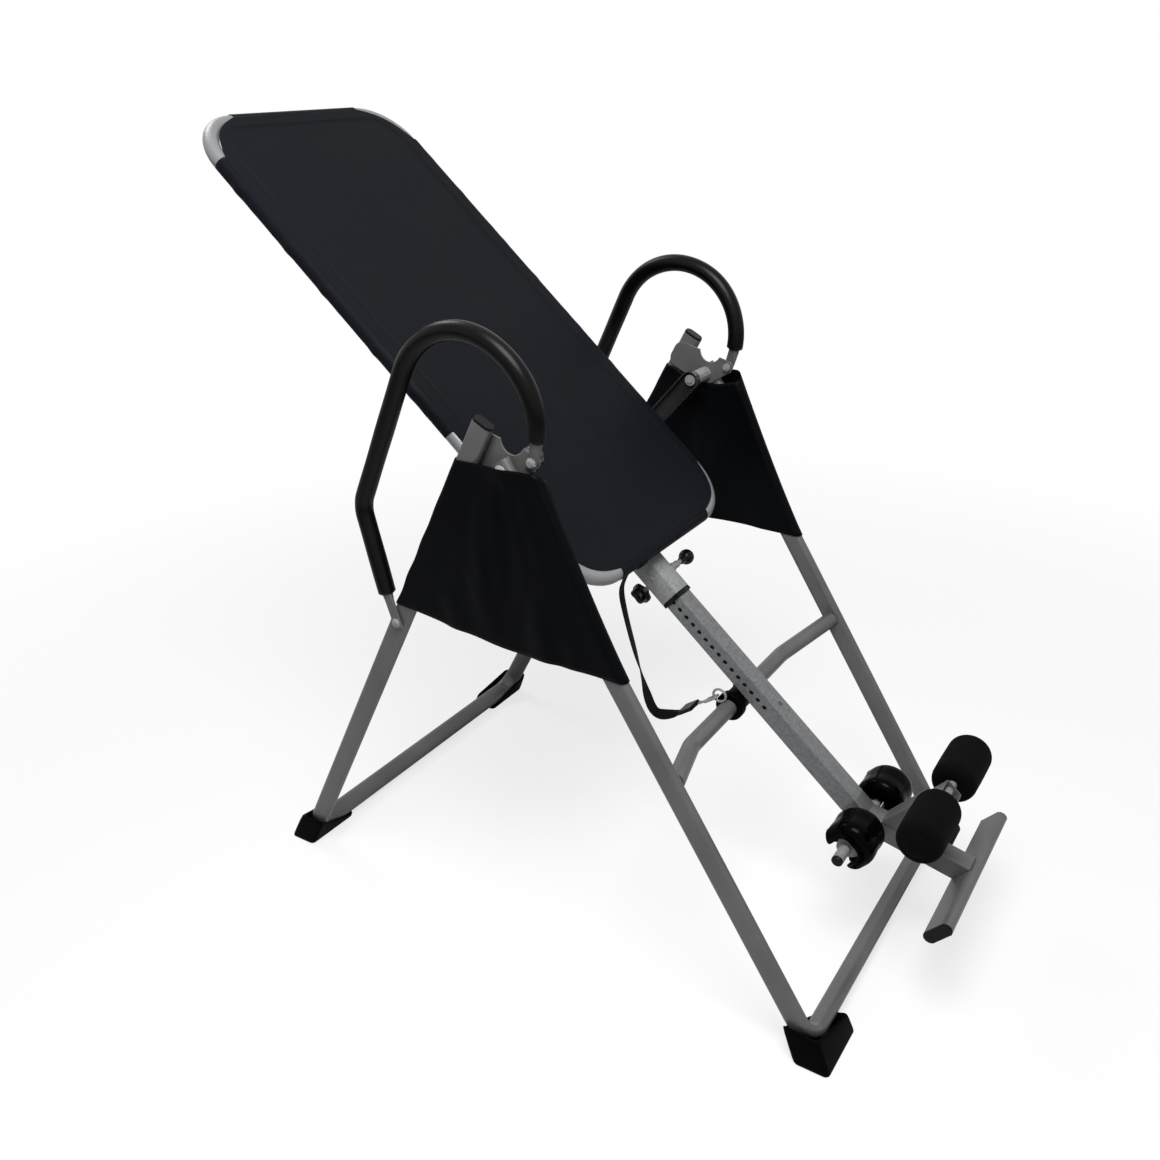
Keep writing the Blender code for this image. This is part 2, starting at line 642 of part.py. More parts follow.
def handle_outline(gone, total, thick, radius):
    """Outline of the handle tube at a distance from its rear end: pressed flat at both ends, and round between."""
    rear_share = (gone - HANDLE_FLAT_LENGTH) / HANDLE_PRESS_LENGTH
    front_share = (total - gone - HANDLE_TAIL) / HANDLE_PRESS_LENGTH
    share = np.clip(min(rear_share, front_share), 0, 1)
    flat = flat_oval(HANDLE_FLAT_WIDTH - (HANDLE_FLAT_THICK - thick), thick, ROUND_SIDES)
    return (1 - share) * flat + share * circle(radius)


def path_between(line, gone, start, end):
    """The part of a path between two distances along it."""
    inside = (gone > start + 0.002) & (gone < end - 0.002)
    ends = [np.array([np.interp(at, gone, line[:, i]) for i in range(3)]) for at in (start, end)]
    return np.array([ends[0], *line[inside], ends[1]])


def handles():
    """Bent tubes bolted to the rear leg and into the hinge bracket, each with a foam grip drawn over it."""
    bore_thick = HANDLE_FLAT_THICK - 2 * HANDLE_WALL
    for label, side in SIDES:
        line, gone = handle_path(side)
        total = gone[-1]
        outer = [handle_outline(at, total, HANDLE_FLAT_THICK, HANDLE_RADIUS) for at in gone]
        inner = [handle_outline(at, total, bore_thick, HANDLE_RADIUS - HANDLE_WALL) for at in gone]
        handle = add(f"handle_{label}", tube(line, (side, 0, 0), outer, inner), PAINT, world)
        through = sorted((side * 0.9 * LEG_X, side * 1.1 * LEG_X))
        holes = [rod_x(SMALL_BOLT_RADIUS + GAP, *spot, *through) for spot in (HANDLE_REAR_BOLT, HANDLE_FRONT_BOLT)]
        cut(handle, joined(*holes), world, "bolts")
        covered = path_between(line, gone, GRIP_FROM_REAR_END, total - GRIP_FROM_FRONT_END)
        sleeve = tube(
            covered, (side, 0, 0), circle(HANDLE_RADIUS + GAP + GRIP_WALL), circle(HANDLE_RADIUS + GAP)
        )
        add(f"handle_grip_{label}", sleeve, GRIP_FOAM, world)


def frame_bolts():
    tab_outer = LEG_OUTER_X + GAP + HANDLE_FLAT_THICK
    front_outer = LEG_INNER_X + HANDLE_FLAT_THICK
    for label, side in SIDES:
        rear_bolt = bolt_along_x(
            side, *HANDLE_REAR_BOLT, SMALL_BOLT_RADIUS, SMALL_BOLT_HEAD, tab_outer, LEG_INNER_X
        )
        add(f"handle_rear_bolt_{label}", rear_bolt, ZINC, world)
        front_bolt = bolt_along_x(
            side, *HANDLE_FRONT_BOLT, SMALL_BOLT_RADIUS, SMALL_BOLT_HEAD, front_outer, BRACKET_INNER_X
        )
        add(f"handle_front_bolt_{label}", front_bolt, ZINC, world)
        arm_floor = ARM_OUTER_X - ARM_WALL
        pivot_bolt = bolt_along_x(
            side, *PIVOT, PIVOT_BOLT_RADIUS, PIVOT_BOLT_HEAD, LEG_OUTER_X, arm_floor
        )
        add(f"pivot_bolt_{label}", pivot_bolt, ZINC, world)


def cover_loop(side, level, inset):
    """One closed level of a leg cover, round both legs. Level 0 is the top edge and level 1 the bottom edge."""
    half_long = LEG_TUBE_LONG / 2 + COVER_ROOM + COVER_WALL - inset
    half_short = LEG_TUBE_SHORT / 2 + COVER_ROOM + COVER_WALL - inset
    rear_z = COVER_TOP_HEIGHT - COVER_REAR_LENGTH * level
    front_z = COVER_TOP_HEIGHT - COVER_FRONT_LENGTH * level
    rear_y = REAR_REACH - (rear_z - FLOOR_TUBE_HEIGHT) * math.tan(REAR_LEAN)
    front_y = -FRONT_REACH + (front_z - FLOOR_TUBE_HEIGHT) * math.tan(FRONT_LEAN)
    rear_y += half_long / math.cos(REAR_LEAN) - half_short
    front_y -= half_long / math.cos(FRONT_LEAN) - half_short
    share = np.linspace(0, 1, 13)
    hang = np.sin(math.pi * level / 2) * np.sin(math.pi * share) ** 2
    fold_wave = 0.5 + 0.5 * np.sin(COVER_FOLDS * 2 * math.pi * share + 2.2 * level)
    bulge = COVER_FOLD_DEPTH * hang
    sheet_y = rear_y + (front_y - rear_y) * share
    sheet_z = rear_z + (front_z - rear_z) * share
    outer_sheet = np.column_stack([half_short + bulge * fold_wave, sheet_y, sheet_z])
    inner_sheet = np.column_stack([-half_short - bulge * (1 - fold_wave), sheet_y, sheet_z])[::-1]
    ends = []
    for y, z, way in ((front_y, front_z, -1), (rear_y, rear_z, 1)):
        turn = np.arange(1, 8) * math.pi / 8
        x = -way * half_short * np.cos(turn)
        ends.append(np.column_stack([x, y + way * half_short * np.sin(turn), np.full(len(turn), z)]))
    loop = np.concatenate([outer_sheet, ends[0], inner_sheet, ends[1]])
    loop[:, 0] += LEG_X
    loop[:, 0] *= side
    return loop


def side_covers():
    """Cloth sleeves round the tops of both legs, with soft hanging folds."""
    levels = np.linspace(0, 1, 6)
    for label, side in SIDES:
        outside = [cover_loop(side, level, 0.0) for level in levels]
        inside = [cover_loop(side, level, COVER_WALL) for level in levels[::-1]]
        add(f"side_cover_{label}", loft(outside + inside, ring=True), CLOTH, world, 60.0)


def brace_places():
    """World Y and Z of the brace's ends on the legs and of its middle, which lies under the boom."""
    end = np.array([-FRONT_REACH, FLOOR_TUBE_HEIGHT])
    end = end + FRONT_UP * (FRONT_LEG_LENGTH - BRACE_END_ON_LEG)
    middle = bed_to_world(BRACE_UNDER_BOOM_AT, BOOM_BOTTOM - GAP - BUMPER_WALL - GAP - BRACE_RADIUS)
    return end, np.array(middle)


BRACE_END, BRACE_MIDDLE = brace_places()


def cross_brace():
    drop = BRACE_END - BRACE_MIDDLE
    normal = np.array([0.0, -drop[1], drop[0]]) / np.linalg.norm(drop)
    reach = LEG_INNER_X - GAP
    corners = [
        (-reach, *BRACE_END),
        (-BRACE_STRAIGHT, *BRACE_MIDDLE),
        (BRACE_STRAIGHT, *BRACE_MIDDLE),
        (reach, *BRACE_END),
    ]
    path = round_corners(corners, BRACE_BEND_RADIUS, 3)
    loops = [carried(path, normal, circle(radius)) for radius in (BRACE_RADIUS, BRACE_RADIUS - BRACE_WALL)]
    for loop_set in loops:
        loop_set[0, :, 0] = -reach
        loop_set[-1, :, 0] = reach
    add("cross_brace", loft(np.concatenate([loops[0], loops[1][::-1]]), ring=True), PAINT, world)


def boom_bumper():
    """A rubber sleeve on the brace, which the boom rests on."""
    bore = BRACE_RADIUS + GAP
    seat = bore + BUMPER_WALL
    end = BUMPER_LENGTH / 2
    half_profile = [(seat, end - BUMPER_ROUND), (seat - BUMPER_ROUND, end)]
    outer = [(r, -x) for r, x in reversed(half_profile)] + half_profile
    profile = outer + [(bore, end), (bore, -end)]
    spool = turned(profile, (0, *BRACE_MIDDLE), (1, 0, 0), ROUND_SIDES, ring=True)
    add("boom_bumper", spool, RUBBER, world)


def ring_centre():
    """World Y and Z of the tether ring's centre. The ring stands on the flat of the brace's upper side."""
    drop = BRACE_END - BRACE_MIDDLE
    up = np.array([drop[1], -drop[0]]) / np.linalg.norm(drop)
    brace_flat = BRACE_RADIUS * math.cos(math.pi / ROUND_SIDES)
    return BRACE_MIDDLE + up * (brace_flat + GAP + RING_WIRE + RING_RADIUS), up


def tether_ring():
    centre, up = ring_centre()
    down = math.atan2(-up[1], -up[0])
    loops = []
    for angle in down + np.arange(14) * 2 * math.pi / 14:
        out = np.array([0.0, math.cos(angle), math.sin(angle)])
        across = np.array([1.0, 0.0, 0.0])
        wire = circle(RING_WIRE, 6)
        middle = np.array([STRAP_X, *centre]) + RING_RADIUS * out
        loops.append(middle + wire[:, 1:] * out + wire[:, :1] * across)
    add("tether_ring", loft(loops, ring=True), ZINC, world)


def bed_tubes():
    """Two U tubes that plug into each other behind the pivot arms, and the two crossbars that carry the sleeve."""
    outer = circle(BED_TUBE_RADIUS)
    inner = circle(BED_TUBE_RADIUS - BED_TUBE_WALL)
    q = -BED_DROP
    head_corners = [
        (-BED_HALF_WIDTH, BED_SHOULDER + GAP, q),
        (-BED_HALF_WIDTH, BED_HEAD, q),
        (BED_HALF_WIDTH, BED_HEAD, q),
        (BED_HALF_WIDTH, BED_SHOULDER + GAP, q),
    ]
    head_path = round_corners(head_corners, BED_CORNER_RADIUS)
    add("bed_frame_upper", tube(head_path, (0, 0, 1), outer, inner), PAINT, tilt)

    foot_corners = [
        (-BED_HALF_WIDTH, 0.0, q),
        (-BED_HALF_WIDTH, BED_FOOT, q),
        (BED_HALF_WIDTH, BED_FOOT, q),
        (BED_HALF_WIDTH, 0.0, q),
    ]
    middle = round_corners(foot_corners, BED_CORNER_RADIUS)
    spigot = [(-BED_HALF_WIDTH, BED_SPIGOT_LENGTH, q), (-BED_HALF_WIDTH, BED_SHOULDER, q)]
    other_spigot = [(-x, t, height) for x, t, height in reversed(spigot)]
    foot_path = np.array([*spigot, *middle, *other_spigot])
    share = np.ones(len(foot_path))
    share[[0, 1, -2, -1]] = (BED_TUBE_RADIUS - BED_TUBE_WALL - GAP) / BED_TUBE_RADIUS
    add(
        "bed_frame_lower",
        tube(foot_path, (0, 0, 1), share[:, None, None] * outer, share[:, None, None] * inner),
        PAINT,
        tilt,
    )
    reach = BED_HALF_WIDTH - BED_TUBE_RADIUS - GAP
    bar_q = BOOM_Q + SLEEVE_SIZE / 2 + GAP + CROSSBAR_TALL / 2
    bar_outer = flat_oval(CROSSBAR_THICK, CROSSBAR_TALL)
    bar_inner = flat_oval(CROSSBAR_THICK - 2 * BED_TUBE_WALL, CROSSBAR_TALL - 2 * BED_TUBE_WALL)
    for label, at in zip(("head", "foot"), CROSSBARS_AT):
        line = [(-reach, at, bar_q), (reach, at, bar_q)]
        add(f"bed_crossbar_{label}", tube(line, (0, 0, 1), bar_outer, bar_inner), PAINT, tilt)


def bed_cover():
    """A sheet stretched over the bed tubes. Its side, head and foot edges are sleeves that wrap round the tubes, and
    it is cut back at the corners and beside the pivot arms."""
    half, head, foot = BED_HALF_WIDTH, BED_HEAD, BED_FOOT
    head_x = half - CLOTH_CORNER
    foot_x = half - CLOTH_FOOT_CORNER
    notch_x = half - CLOTH_NOTCH_DEPTH
    notch_run = 0.4 * CLOTH_NOTCH_DEPTH
    right = [
        (head_x, head),
        (half, head - CLOTH_CORNER),
        (half, CLOTH_NOTCH_HEAD),
        (notch_x, CLOTH_NOTCH_HEAD - notch_run),
        (notch_x, CLOTH_NOTCH_FOOT + notch_run),
        (half, CLOTH_NOTCH_FOOT),
        (half, foot + CLOTH_FOOT_CORNER),
        (foot_x, foot),
        (CLOTH_GAP_AT_SLEEVE, foot),
    ]
    outline = right + [(-x, t) for x, t in reversed(right)]
    steps = CLOTH_HEM_STEPS
    radius = CLOTH_HEM_RADIUS
    sheet = bmesh.new()
    corners = [sheet.verts.new((x, t, -BED_DROP + radius)) for x, t in outline]
    sheet.faces.new(corners)
    last = len(outline) - 1
    sleeves = {(last, 0): (0, 1, steps), (8, last - 8): (0, -1, steps // 3)}
    for a, b, out_x, out_t in ((1, 2, 1, 0), (5, 6, 1, 0), (7, 8, 0, -1)):
        sleeves[a, b] = (out_x, out_t, steps)
        sleeves[last - b, last - a] = (-out_x, out_t, steps)
    wrapped = {}

    def hem_point(corner, out_x, out_t, angle):
        """The point of a hem at an angle round the tube, shared by hems that meet at this corner."""
        spot = (corner, round(angle, 6))
        if spot not in wrapped:
            x, t, _ = corners[corner].co
            reach = radius * math.sin(angle)
            height = -BED_DROP + radius * math.cos(angle)
            wrapped[spot] = sheet.verts.new((x + out_x * reach, t + out_t * reach, height))
        return wrapped[spot]

    for (a, b), (out_x, out_t, turns) in sleeves.items():
        edge = [corners[a], corners[b]]
        for i in range(1, turns + 1):
            angle = CLOTH_HEM_ANGLE * i / steps
            fresh = [hem_point(corner, out_x, out_t, angle) for corner in (a, b)]
            sheet.faces.new([edge[0], edge[1], fresh[1], fresh[0]])
            edge = fresh
    bmesh.ops.recalc_face_normals(sheet, faces=sheet.faces)
    if sum(face.normal.z for face in sheet.faces if len(face.verts) > 4) < 0:
        bmesh.ops.reverse_faces(sheet, faces=sheet.faces)
    mesh = bpy.data.meshes.new("bed_cover")
    sheet.to_mesh(mesh)
    sheet.free()
    mesh.shade_smooth()
    mesh.set_sharp_from_angle(angle=math.radians(50))
    mesh.materials.append(CLOTH)
    cover = bpy.data.objects.new("bed_cover", mesh)
    cover.parent = tilt
    bpy.context.scene.collection.objects.link(cover)
    wall = cover.modifiers.new("cloth", "SOLIDIFY")
    wall.thickness = CLOTH_WALL
    wall.offset = 1.0


def arm_outline(inset):
    """Outline of a pivot arm: round at the pivot, square at the bed tube."""
    foot = -BED_DROP - ARM_BELOW_TUBE
    corner = ARM_WALL + 0.002
    across = ARM_HALF_WIDTH - corner
    return hull(
        [
            (0.0, 0.0, ARM_HALF_WIDTH - inset),
            (across, foot + corner, corner - inset),
            (-across, foot + corner, corner - inset),
        ],
        20,
    )


def pivot_arms():
    outer, inner = arm_outline(0.0), arm_outline(ARM_WALL)
    for label, side in SIDES:
        floor_x = ARM_OUTER_X - ARM_WALL
        rows = ((outer, ARM_OUTER_X), (outer, ARM_INNER_X), (inner, ARM_INNER_X), (inner, floor_x))
        loops = [np.column_stack([np.full(len(o), side * x), o]) for o, x in rows]
        arm = add(f"pivot_arm_{label}", loft(loops), BLACK_STEEL, tilt)
        through = sorted((side * 0.7 * LEG_X, side * LEG_X))
        cut(arm, rod_x(PIVOT_BOLT_RADIUS + GAP, 0, 0, *through), tilt, "pivot_bolt")
        bore = PIVOT_BOLT_RADIUS + GAP
        near, far = ARM_OUTER_X + GAP, BRACKET_INNER_X - GAP
        profile = [
            (bore, near),
            (BUSHING_FLANGE, near),
            (BUSHING_FLANGE, near + BUSHING_FLANGE_THICK),
            (BUSHING_RADIUS, near + BUSHING_FLANGE_THICK),
            (BUSHING_RADIUS, far),
            (bore, far),
        ]
        bushing = turned(profile, (0, 0, 0), (side, 0, 0), ROUND_SIDES, ring=True)
        add(f"pivot_bushing_{label}", bushing, ZINC, tilt)


def along_bed(t_from, t_to, outer, inner):
    """A hollow square bar along the bed, on the boom's line."""
    line = [(0, t_from, BOOM_Q), (0, t_to, BOOM_Q)]
    return tube(line, (0, 0, 1), outer, inner)


def boom_sleeve():
    outer = soft_square(SLEEVE_SIZE, SLEEVE_CORNER)
    bore_size = BOOM_SIZE + 2 * RUNNING_GAP
    inner = soft_square(bore_size, BOOM_CORNER)
    sleeve = add("boom_sleeve", along_bed(SLEEVE_FOOT_END, SLEEVE_HEAD_END, outer, inner), ZINC, tilt)
    pin_hole = rod_x(PIN_RADIUS + RUNNING_GAP, PIN_AT, BOOM_Q, 0.0, SLEEVE_SIZE)
    stem_hole = turned(
        [(KNOB_STEM_RADIUS + RUNNING_GAP, -SLEEVE_SIZE), (KNOB_STEM_RADIUS + RUNNING_GAP, 0.0)],
        (0, PIN_AT, BOOM_Q),
        (0, 0, 1),
    )
    cut(sleeve, pin_hole, tilt, "pin_hole")
    cut(sleeve, stem_hole, tilt, "knob_hole")
    mouth = SLEEVE_FOOT_END - GAP
    add("sleeve_collar", along_bed(mouth - COLLAR_LENGTH, mouth, outer, inner), PLASTIC, tilt)
    near = SLEEVE_SIZE / 2 + GAP
    bore = PIN_RADIUS + RUNNING_GAP
    profile = [
        (bore, near),
        (PIN_HOUSING_RADIUS, near),
        (PIN_HOUSING_RADIUS, near + PIN_HOUSING_LENGTH),
        (bore, near + PIN_HOUSING_LENGTH),
    ]
    housing = turned(profile, (0, PIN_AT, BOOM_Q), (1, 0, 0), 12, ring=True)
    add("pin_housing", housing, ZINC, tilt)


def boom_lock():
    """The pull pin with its ball end, drawn back into the sleeve wall, and the star knob that clamps the boom."""
    rows = [(PIN_RADIUS, BOOM_SIZE / 2 + RUNNING_GAP)]
    for angle in np.linspace(math.asin(PIN_RADIUS / PIN_BALL_RADIUS), math.radians(165), 8):
        rows.append((PIN_BALL_RADIUS * math.sin(angle), PIN_REACH - PIN_BALL_RADIUS * math.cos(angle)))
    add("pull_pin", turned(rows, (0, 0, 0), (1, 0, 0), ROUND_SIDES), ZINC, pin_line)

    sides = 4 * KNOB_LOBES
    turn = np.arange(sides) * 2 * math.pi / sides
    star = KNOB_RADIUS - KNOB_LOBE_DEPTH * (1 - np.cos(KNOB_LOBES * turn)) / 2
    stem_top = -RUNNING_GAP
    knob_top = stem_top - KNOB_STEM_LENGTH
    rows = (
        (np.full(sides, KNOB_STEM_RADIUS), stem_top),
        (np.full(sides, KNOB_STEM_RADIUS), knob_top),
        (np.full(sides, 0.5 * KNOB_RADIUS), knob_top - 0.001),
        (0.92 * star, knob_top - 0.004),
        (star, knob_top - 0.007),
        (star, knob_top - KNOB_THICK + 0.003),
        (0.85 * star, knob_top - KNOB_THICK),
    )
    loops = []
    for radius, height in rows:
        loops.append(np.column_stack([radius * np.cos(turn), radius * np.sin(turn), np.full(sides, height)]))
    add("lock_knob", loft(loops), PLASTIC, knob_line)


def boom_tube():
    outer = soft_square(BOOM_SIZE, BOOM_CORNER)
    inner = soft_square(BOOM_SIZE - 2 * BOOM_WALL, max(BOOM_CORNER - BOOM_WALL, 0.0008))
    boom = add("boom_tube", along_bed(BOOM_FOOT_END, BOOM_HEAD_END, outer, inner), ZINC, slide)
    holes = []
    for i in range(HOLE_COUNT):
        at = LAST_HOLE_AT + i * HOLE_PITCH
        holes.append(rod_x(HOLE_RADIUS, at, BOOM_Q, -BOOM_SIZE, BOOM_SIZE, 8))
    cut(boom, joined(*holes), slide, "length_holes")


def post_way():
    return np.array([0.0, -math.cos(POST_RISE), math.sin(POST_RISE)])


ELBOW = np.array([0.0, POST_ELBOW_AT, BOOM_Q])


def foot_post():
    """The bent end of the boom. Its last face is cut to lie flat on the foot bar."""
    outer = soft_square(BOOM_SIZE, BOOM_CORNER)
    inner = soft_square(BOOM_SIZE - 2 * BOOM_WALL, max(BOOM_CORNER - BOOM_WALL, 0.0008))
    way = post_way()
    end = ELBOW + way * (POST_END_AT - POST_ELBOW_AT) / way[1]
    path = [(0, BOOM_FOOT_END - GAP, BOOM_Q), ELBOW, end]
    loops = [carried(path, (1, 0, 0), outline) for outline in (outer, inner)]
    for loop_set in loops:
        short = (POST_END_AT - loop_set[-1, :, 1:2]) / way[1]
        loop_set[-1] += short * way
    post = add("foot_post", loft(np.concatenate([loops[0], loops[1][::-1]]), ring=True), PAINT, slide)
    hole = rod_x(HEEL_ROD_RADIUS + GAP, HEEL_ROD_AT, BOOM_Q, -BOOM_SIZE, BOOM_SIZE, ROUND_SIDES)
    cut(post, hole, slide, "heel_rod")


def foot_bar():
    """The flat-oval bar across the end of the foot post, closed by two plugs."""
    centre = np.array([0.0, FOOT_BAR_AT, -FOOT_BAR_DROP])
    line = centre + np.array([(-FOOT_BAR_HALF, 0, 0), (FOOT_BAR_HALF, 0, 0)])
    outer = flat_oval(FOOT_BAR_THICK, FOOT_BAR_TALL)
    sunk = 2 * FOOT_BAR_WALL
    inner = flat_oval(FOOT_BAR_THICK - sunk, FOOT_BAR_TALL - sunk)
    add("foot_bar", tube(line, (0, 0, 1), outer, inner), PAINT, slide)
    fit = flat_oval(FOOT_BAR_THICK - sunk - 2 * GAP, FOOT_BAR_TALL - sunk - 2 * GAP)
    rows = ((0.9 * outer, FOOT_BAR_PLUG), (outer, FOOT_BAR_PLUG / 2), (outer, GAP), (fit, GAP), (fit, -0.012))
    for label, side in SIDES:
        loops = []
        for outline, x in rows:
            across = np.full(len(outline), side * (FOOT_BAR_HALF + x))
            loops.append(centre + np.column_stack([across, outline]))
        add(f"foot_bar_plug_{label}", loft(loops), PLASTIC, slide)


def heel_holder():
    """A rod through the boom's elbow, with a plate and a horseshoe-shaped pad for each heel."""
    bore = HEEL_ROD_RADIUS - HEEL_ROD_WALL
    centre = (0, HEEL_ROD_AT, BOOM_Q)
    rod = turned(
        [
            (HEEL_ROD_RADIUS, -HEEL_ROD_HALF),
            (HEEL_ROD_RADIUS, HEEL_ROD_HALF),
            (bore, HEEL_ROD_HALF),
            (bore, -HEEL_ROD_HALF),
        ],
        centre,
        (1, 0, 0),
        ROUND_SIDES,
        ring=True,
    )
    add("heel_rod", rod, ZINC, slide)
    cup_at = np.array([HEEL_ROD_AT, BOOM_Q + HEEL_CUP_LIFT])
    cup_inner = HEEL_CUP_RADIUS - HEEL_CUP_WALL
    plate_outline = hull(
        [
            (*cup_at, cup_inner - 3 * GAP),
            (HEEL_ROD_AT, BOOM_Q, HEEL_ROD_RADIUS + 2 * HEEL_PLATE_THICK),
        ],
        24,
    )
    for label, side in SIDES:
        plug = turned(
            [
                (HEEL_ROD_RADIUS * 0.8, HEEL_ROD_HALF + 0.005),
                (HEEL_ROD_RADIUS, HEEL_ROD_HALF + 0.003),
                (HEEL_ROD_RADIUS, HEEL_ROD_HALF + GAP),
                (bore - GAP, HEEL_ROD_HALF + GAP),
                (bore - GAP, HEEL_ROD_HALF - HEEL_ROD_RADIUS),
            ],
            centre,
            (side, 0, 0),
            ROUND_SIDES,
        )
        add(f"heel_rod_plug_{label}", plug, PLASTIC, slide)
        plate_x_far = HEEL_CUP_X + HEEL_CUP_HALF - HEEL_PLATE_THICK
        ends = sorted((side * (plate_x_far - HEEL_PLATE_THICK), side * plate_x_far))
        plate = add(f"heel_plate_{label}", plate_x(plate_outline, *ends), ZINC, slide)
        through = sorted((side * HEEL_CUP_X, side * HEEL_ROD_HALF))
        rod_hole = rod_x(HEEL_ROD_RADIUS + GAP, HEEL_ROD_AT, BOOM_Q, *through, ROUND_SIDES)
        cut(plate, rod_hole, slide, "heel_rod")
        add(f"heel_cup_{label}", heel_cup(side, cup_at), RUBBER, slide)


def heel_cup(side, cup_at):
    """A thick horseshoe section carried across, drawn in at the middle where the heel lies and rounded at its ends."""
    turn = np.linspace(0, math.pi, 11)
    shares = np.array([-1.0, -0.93, -0.75, -0.4, 0.0, 0.4, 0.75, 0.93, 1.0])
    trims = np.array([0.006, 0.0022, 0.0, 0.0, 0.0, 0.0, 0.0, 0.0022, 0.006])
    loops = []
    for share, trim in zip(shares, trims):
        outer_radius = HEEL_CUP_RADIUS - trim - HEEL_CUP_WAIST * (1 - abs(share)) ** 2
        inner_radius = HEEL_CUP_RADIUS - HEEL_CUP_WALL
        skirt = HEEL_CUP_SKIRT - trim
        outside = outer_radius * np.stack([np.cos(turn), np.sin(turn)], 1)
        inside = inner_radius * np.stack([np.cos(turn), np.sin(turn)], 1)[::-1]
        first, last = [(outer_radius, -skirt)], [(-outer_radius, -skirt)]
        inner_first, inner_last = [(-inner_radius, -skirt)], [(inner_radius, -skirt)]
        section = np.concatenate([first, outside, last, inner_first, inside, inner_last]) + cup_at
        x = np.full(len(section), side * (HEEL_CUP_X + share * HEEL_CUP_HALF))
        loops.append(np.column_stack([x, section]))
    return loft(loops)


def ankle_clamp():
    """A socket on the foot post, and the sliding post, axle and foam rollers that hold the ankles."""
    bore_size = CLAMP_POST_SIZE + 2 * RUNNING_GAP
    outer = soft_square(bore_size + 2 * SOCKET_WALL, BOOM_CORNER)
    inner = soft_square(bore_size, BOOM_CORNER)
    top = np.array([0.0, 0.0, SOCKET_TOP])
    slope = math.tan(POST_RISE)
    face = GAP + BOOM_SIZE / 2 / math.cos(POST_RISE)
    foot_at_clamp = BOOM_Q + (POST_ELBOW_AT - CLAMP_AT) * slope + face

    def standing(outline, on_post):
        z = foot_at_clamp - slope * outline[:, 1] if on_post else np.full(len(outline), top[2])
        return np.column_stack([outline, z])

    rows = ((outer, True), (outer, False), (inner, False), (inner, True))
    loops = [standing(outline, on_post) for outline, on_post in rows]
    socket = add("ankle_socket", loft(loops, ring=True), PAINT, clamp)
    reach = bore_size
    cut(socket, rod_x(LEVER_WIRE + RUNNING_GAP, 0, LEVER_HEIGHT, 0.0, reach), clamp, "lever_hole")

    post_outer = soft_square(CLAMP_POST_SIZE, BOOM_CORNER)
    post_inner = soft_square(CLAMP_POST_SIZE - 2 * CLAMP_POST_WALL, BOOM_CORNER / 2)
    line = [(0, 0, CLAMP_POST_FOOT), (0, 0, AXLE_HEIGHT + 1.6 * AXLE_RADIUS)]
    post = add("roller_post", tube(line, (0, 1, 0), post_outer, post_inner), PAINT, clamp)
    hole = rod_x(AXLE_RADIUS + GAP, 0, AXLE_HEIGHT, -CLAMP_POST_SIZE, CLAMP_POST_SIZE, ROUND_SIDES)
    cut(post, hole, clamp, "axle_hole")
    shaft = [
        (0.7 * AXLE_RADIUS, -AXLE_HALF),
        (AXLE_RADIUS, -AXLE_HALF + 0.002),
        (AXLE_RADIUS, AXLE_HALF - 0.002),
        (0.7 * AXLE_RADIUS, AXLE_HALF),
    ]
    add("roller_axle", turned(shaft, (0, 0, AXLE_HEIGHT), (1, 0, 0), ROUND_SIDES), ZINC, clamp)
    turn = np.linspace(0, math.pi / 2, 4)
    rounding = ROLLER_ROUND * np.stack([np.sin(turn) - 1, 1 - np.cos(turn)], 1)
    near = [(ROLLER_RADIUS + r, ROLLER_INNER_END + x) for r, x in rounding]
    far = [(r, 2 * ROLLER_INNER_END + ROLLER_LENGTH - x) for r, x in reversed(near)]
    bore = AXLE_RADIUS + GAP
    profile = [(bore, ROLLER_INNER_END)] + near + far + [(bore, ROLLER_INNER_END + ROLLER_LENGTH)]
    for label, side in SIDES:
        roller = turned(profile, (0, 0, 0), (side, 0, 0), 16, ring=True)
        add(f"roller_{label}", roller, FOAM, axle)
    start = CLAMP_POST_SIZE / 2 + RUNNING_GAP
    out = start + SOCKET_WALL + LEVER_OUT
    corners = [(start, 0, 0), (out, 0, 0), (out + 0.3 * LEVER_OUT, 0, LEVER_RISE)]
    path = round_corners(corners, 3 * LEVER_WIRE, 3)
    add("ankle_lever", bar(path, (0, 1, 0), circle(LEVER_WIRE, 8)), BLACK_STEEL, lever_line)


def smooth_line(points, count):
    """A smooth curve through points, by Catmull-Rom pieces."""
    points = np.asarray(points, float)
    padded = np.concatenate([2 * points[:1] - points[1:2], points, 2 * points[-1:] - points[-2:-1]])
    line = []
    for at in np.linspace(0, len(points) - 1, count):
        i = min(int(at), len(points) - 2)
        s = at - i
        a, b, c, d = padded[i : i + 4]
        line.append(
            0.5 * (2 * b + (c - a) * s + (2 * a - 5 * b + 4 * c - d) * s**2 + (3 * b - a - 3 * c + d) * s**3)
        )
    return np.array(line)


def strap_line():
    """The strap's centre line in world Y and Z, and the way that its lower end points. It starts under the hem of the
    bed's foot tube and ends where the snap hook begins, one hook's length short of the ring."""
    ring, _ = ring_centre()
    last = np.array(STRAP_ROUTE[-1])
    way = (ring - last) / np.linalg.norm(ring - last)
    end = ring - way * (RING_RADIUS - RING_WIRE - GAP - HOOK_WIRE + HOOK_LENGTH + GAP)
    tube_at = np.array(bed_to_world(BED_FOOT, -BED_DROP))
    first = np.array(STRAP_ROUTE[0])
    start_way = (first - tube_at) / np.linalg.norm(first - tube_at)
    start = tube_at + start_way * (CLOTH_HEM_RADIUS + CLOTH_WALL + GAP)
    return smooth_line([start, *STRAP_ROUTE, end], 31), way


